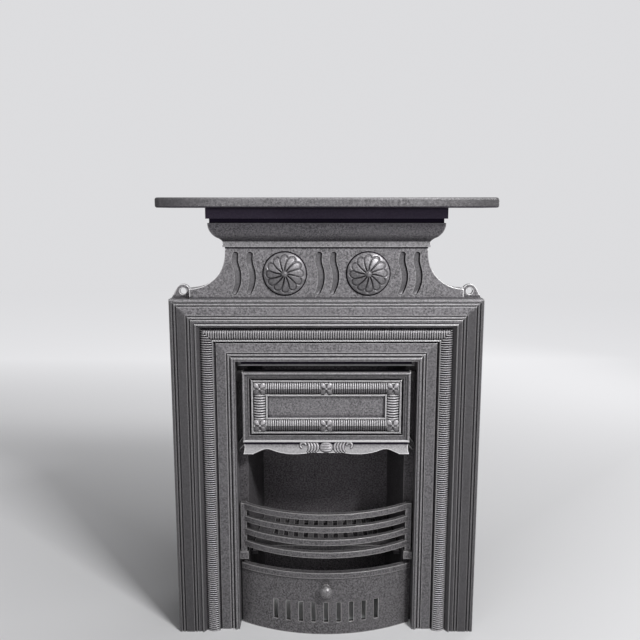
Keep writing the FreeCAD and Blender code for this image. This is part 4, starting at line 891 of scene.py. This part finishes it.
# Studio. A pale painted floor lies under pale air, and glows softly away from the part, so
# that it meets the air without a horizon. Four soft boxes light the part, the key lamp from
# high on the right, and the camera stands before it as the photograph's did.
floor_half = 6.0
floor_roughness = 0.9
pale_paint = (0.62, 0.62, 0.63, 1.0)
pale_air = (0.9, 0.9, 0.92, 1.0)
black = (0.0, 0.0, 0.0, 1.0)
part_half_width = 0.3
part_half_depth = 0.16
glow_start = -0.02
glow_full = 2.4
glow_strength = 0.72
air_light = 0.1
air_shown = 0.8
camera_drop = 9.1
floor_mesh = bmesh.new()
bmesh.ops.create_grid(floor_mesh, x_segments=1, y_segments=1, size=floor_half)
floor_data = bpy.data.meshes.new("studio_floor")
floor_mesh.to_mesh(floor_data)
floor_mesh.free()
floor = bpy.data.objects.new("studio_floor", floor_data)
bpy.context.scene.collection.objects.link(floor)
floor_paint = bpy.data.materials.new("studio_pale_paint")
floor_paint.use_nodes = True
floor_tree = floor_paint.node_tree
floor_shader = floor_tree.nodes["Principled BSDF"]
floor_shader.inputs["Base Color"].default_value = pale_paint
floor_shader.inputs["Roughness"].default_value = floor_roughness
floor_shader.inputs["Specular IOR Level"].default_value = 0.0
floor_data.materials.append(floor_paint)


def seen_rays(tree, unseen, strength, socket):
    """A strength for what camera, mirror and glass show, and another for what lights the object."""
    rays = tree.nodes.new("ShaderNodeLightPath")
    seen = sum_of(tree, "ADD", rays.outputs["Is Camera Ray"], rays.outputs["Is Glossy Ray"])
    seen = sum_of(tree, "ADD", seen, rays.outputs["Is Transmission Ray"])
    tree.links.new(between(tree, seen, 0.0, 1.0, unseen, strength), socket)


floor_places = floor_tree.nodes.new("ShaderNodeTexCoord")
floor_axes = floor_tree.nodes.new("ShaderNodeSeparateXYZ")
floor_tree.links.new(floor_places.outputs["Object"], floor_axes.inputs["Vector"])
aside = sum_of(floor_tree, "ABSOLUTE", floor_axes.outputs["X"], 0.0)
aside = sum_of(floor_tree, "SUBTRACT", aside, part_half_width)
forward = sum_of(floor_tree, "ABSOLUTE", floor_axes.outputs["Y"], 0.0)
forward = sum_of(floor_tree, "SUBTRACT", forward, part_half_depth)
# Near the part the floor's glow fades to none: a painted shadow round its base.
open_floor = between(floor_tree, sum_of(floor_tree, "MAXIMUM", aside, forward), glow_start, glow_full)
glow = floor_tree.nodes.new("ShaderNodeMix")
glow.data_type = "RGBA"
glow.inputs["A"].default_value = black
glow.inputs["B"].default_value = pale_air
floor_tree.links.new(open_floor, glow.inputs["Factor"])
floor_tree.links.new(glow.outputs["Result"], floor_shader.inputs["Emission Color"])
seen_rays(floor_tree, 0.0, glow_strength, floor_shader.inputs["Emission Strength"])

world = bpy.data.worlds.new("studio_air")
world.use_nodes = True
air = world.node_tree.nodes["Background"]
air.inputs["Color"].default_value = pale_air
seen_rays(world.node_tree, air_light, air_shown, air.inputs["Strength"])
bpy.context.scene.world = world


def soft_lamp(name, place, aim, width, height, power):
    """A rectangular soft box that faces a point."""
    data = bpy.data.lights.new(name, "AREA")
    data.shape = "RECTANGLE"
    data.size = width
    data.size_y = height
    data.energy = power
    lamp = bpy.data.objects.new(name, data)
    lamp.location = place
    lamp.rotation_euler = (Vector(aim) - Vector(place)).to_track_quat("-Z", "Y").to_euler()
    bpy.context.scene.collection.objects.link(lamp)


soft_lamp("key_lamp", place=(1.1, -1.6, 1.98), aim=(0, -0.05, 0.65), width=0.5, height=0.3, power=63.0)
soft_lamp("fill_lamp", place=(-0.9, -1.9, 1.1), aim=(0, 0, 0.5), width=1.0, height=1.2, power=3.0)
soft_lamp("back_lamp", place=(1.9, 1.7, 1.5), aim=(0, 0, 0.5), width=1.2, height=1.2, power=16.0)
soft_lamp("top_lamp", place=(0.1, -0.7, 2.4), aim=(0, -0.1, 0.6), width=1.4, height=0.6, power=9.0)

camera_data = bpy.data.cameras.new("photo_camera")
camera_data.lens = 38.25
camera_data.sensor_width = 36.0
camera = bpy.data.objects.new("photo_camera", camera_data)
camera.location = (-0.0125, -1.381, 0.868)
camera.rotation_euler = (math.radians(90 - camera_drop), 0, 0)
bpy.context.scene.collection.objects.link(camera)
bpy.context.scene.camera = camera
bpy.context.scene.view_settings.view_transform = "Standard"
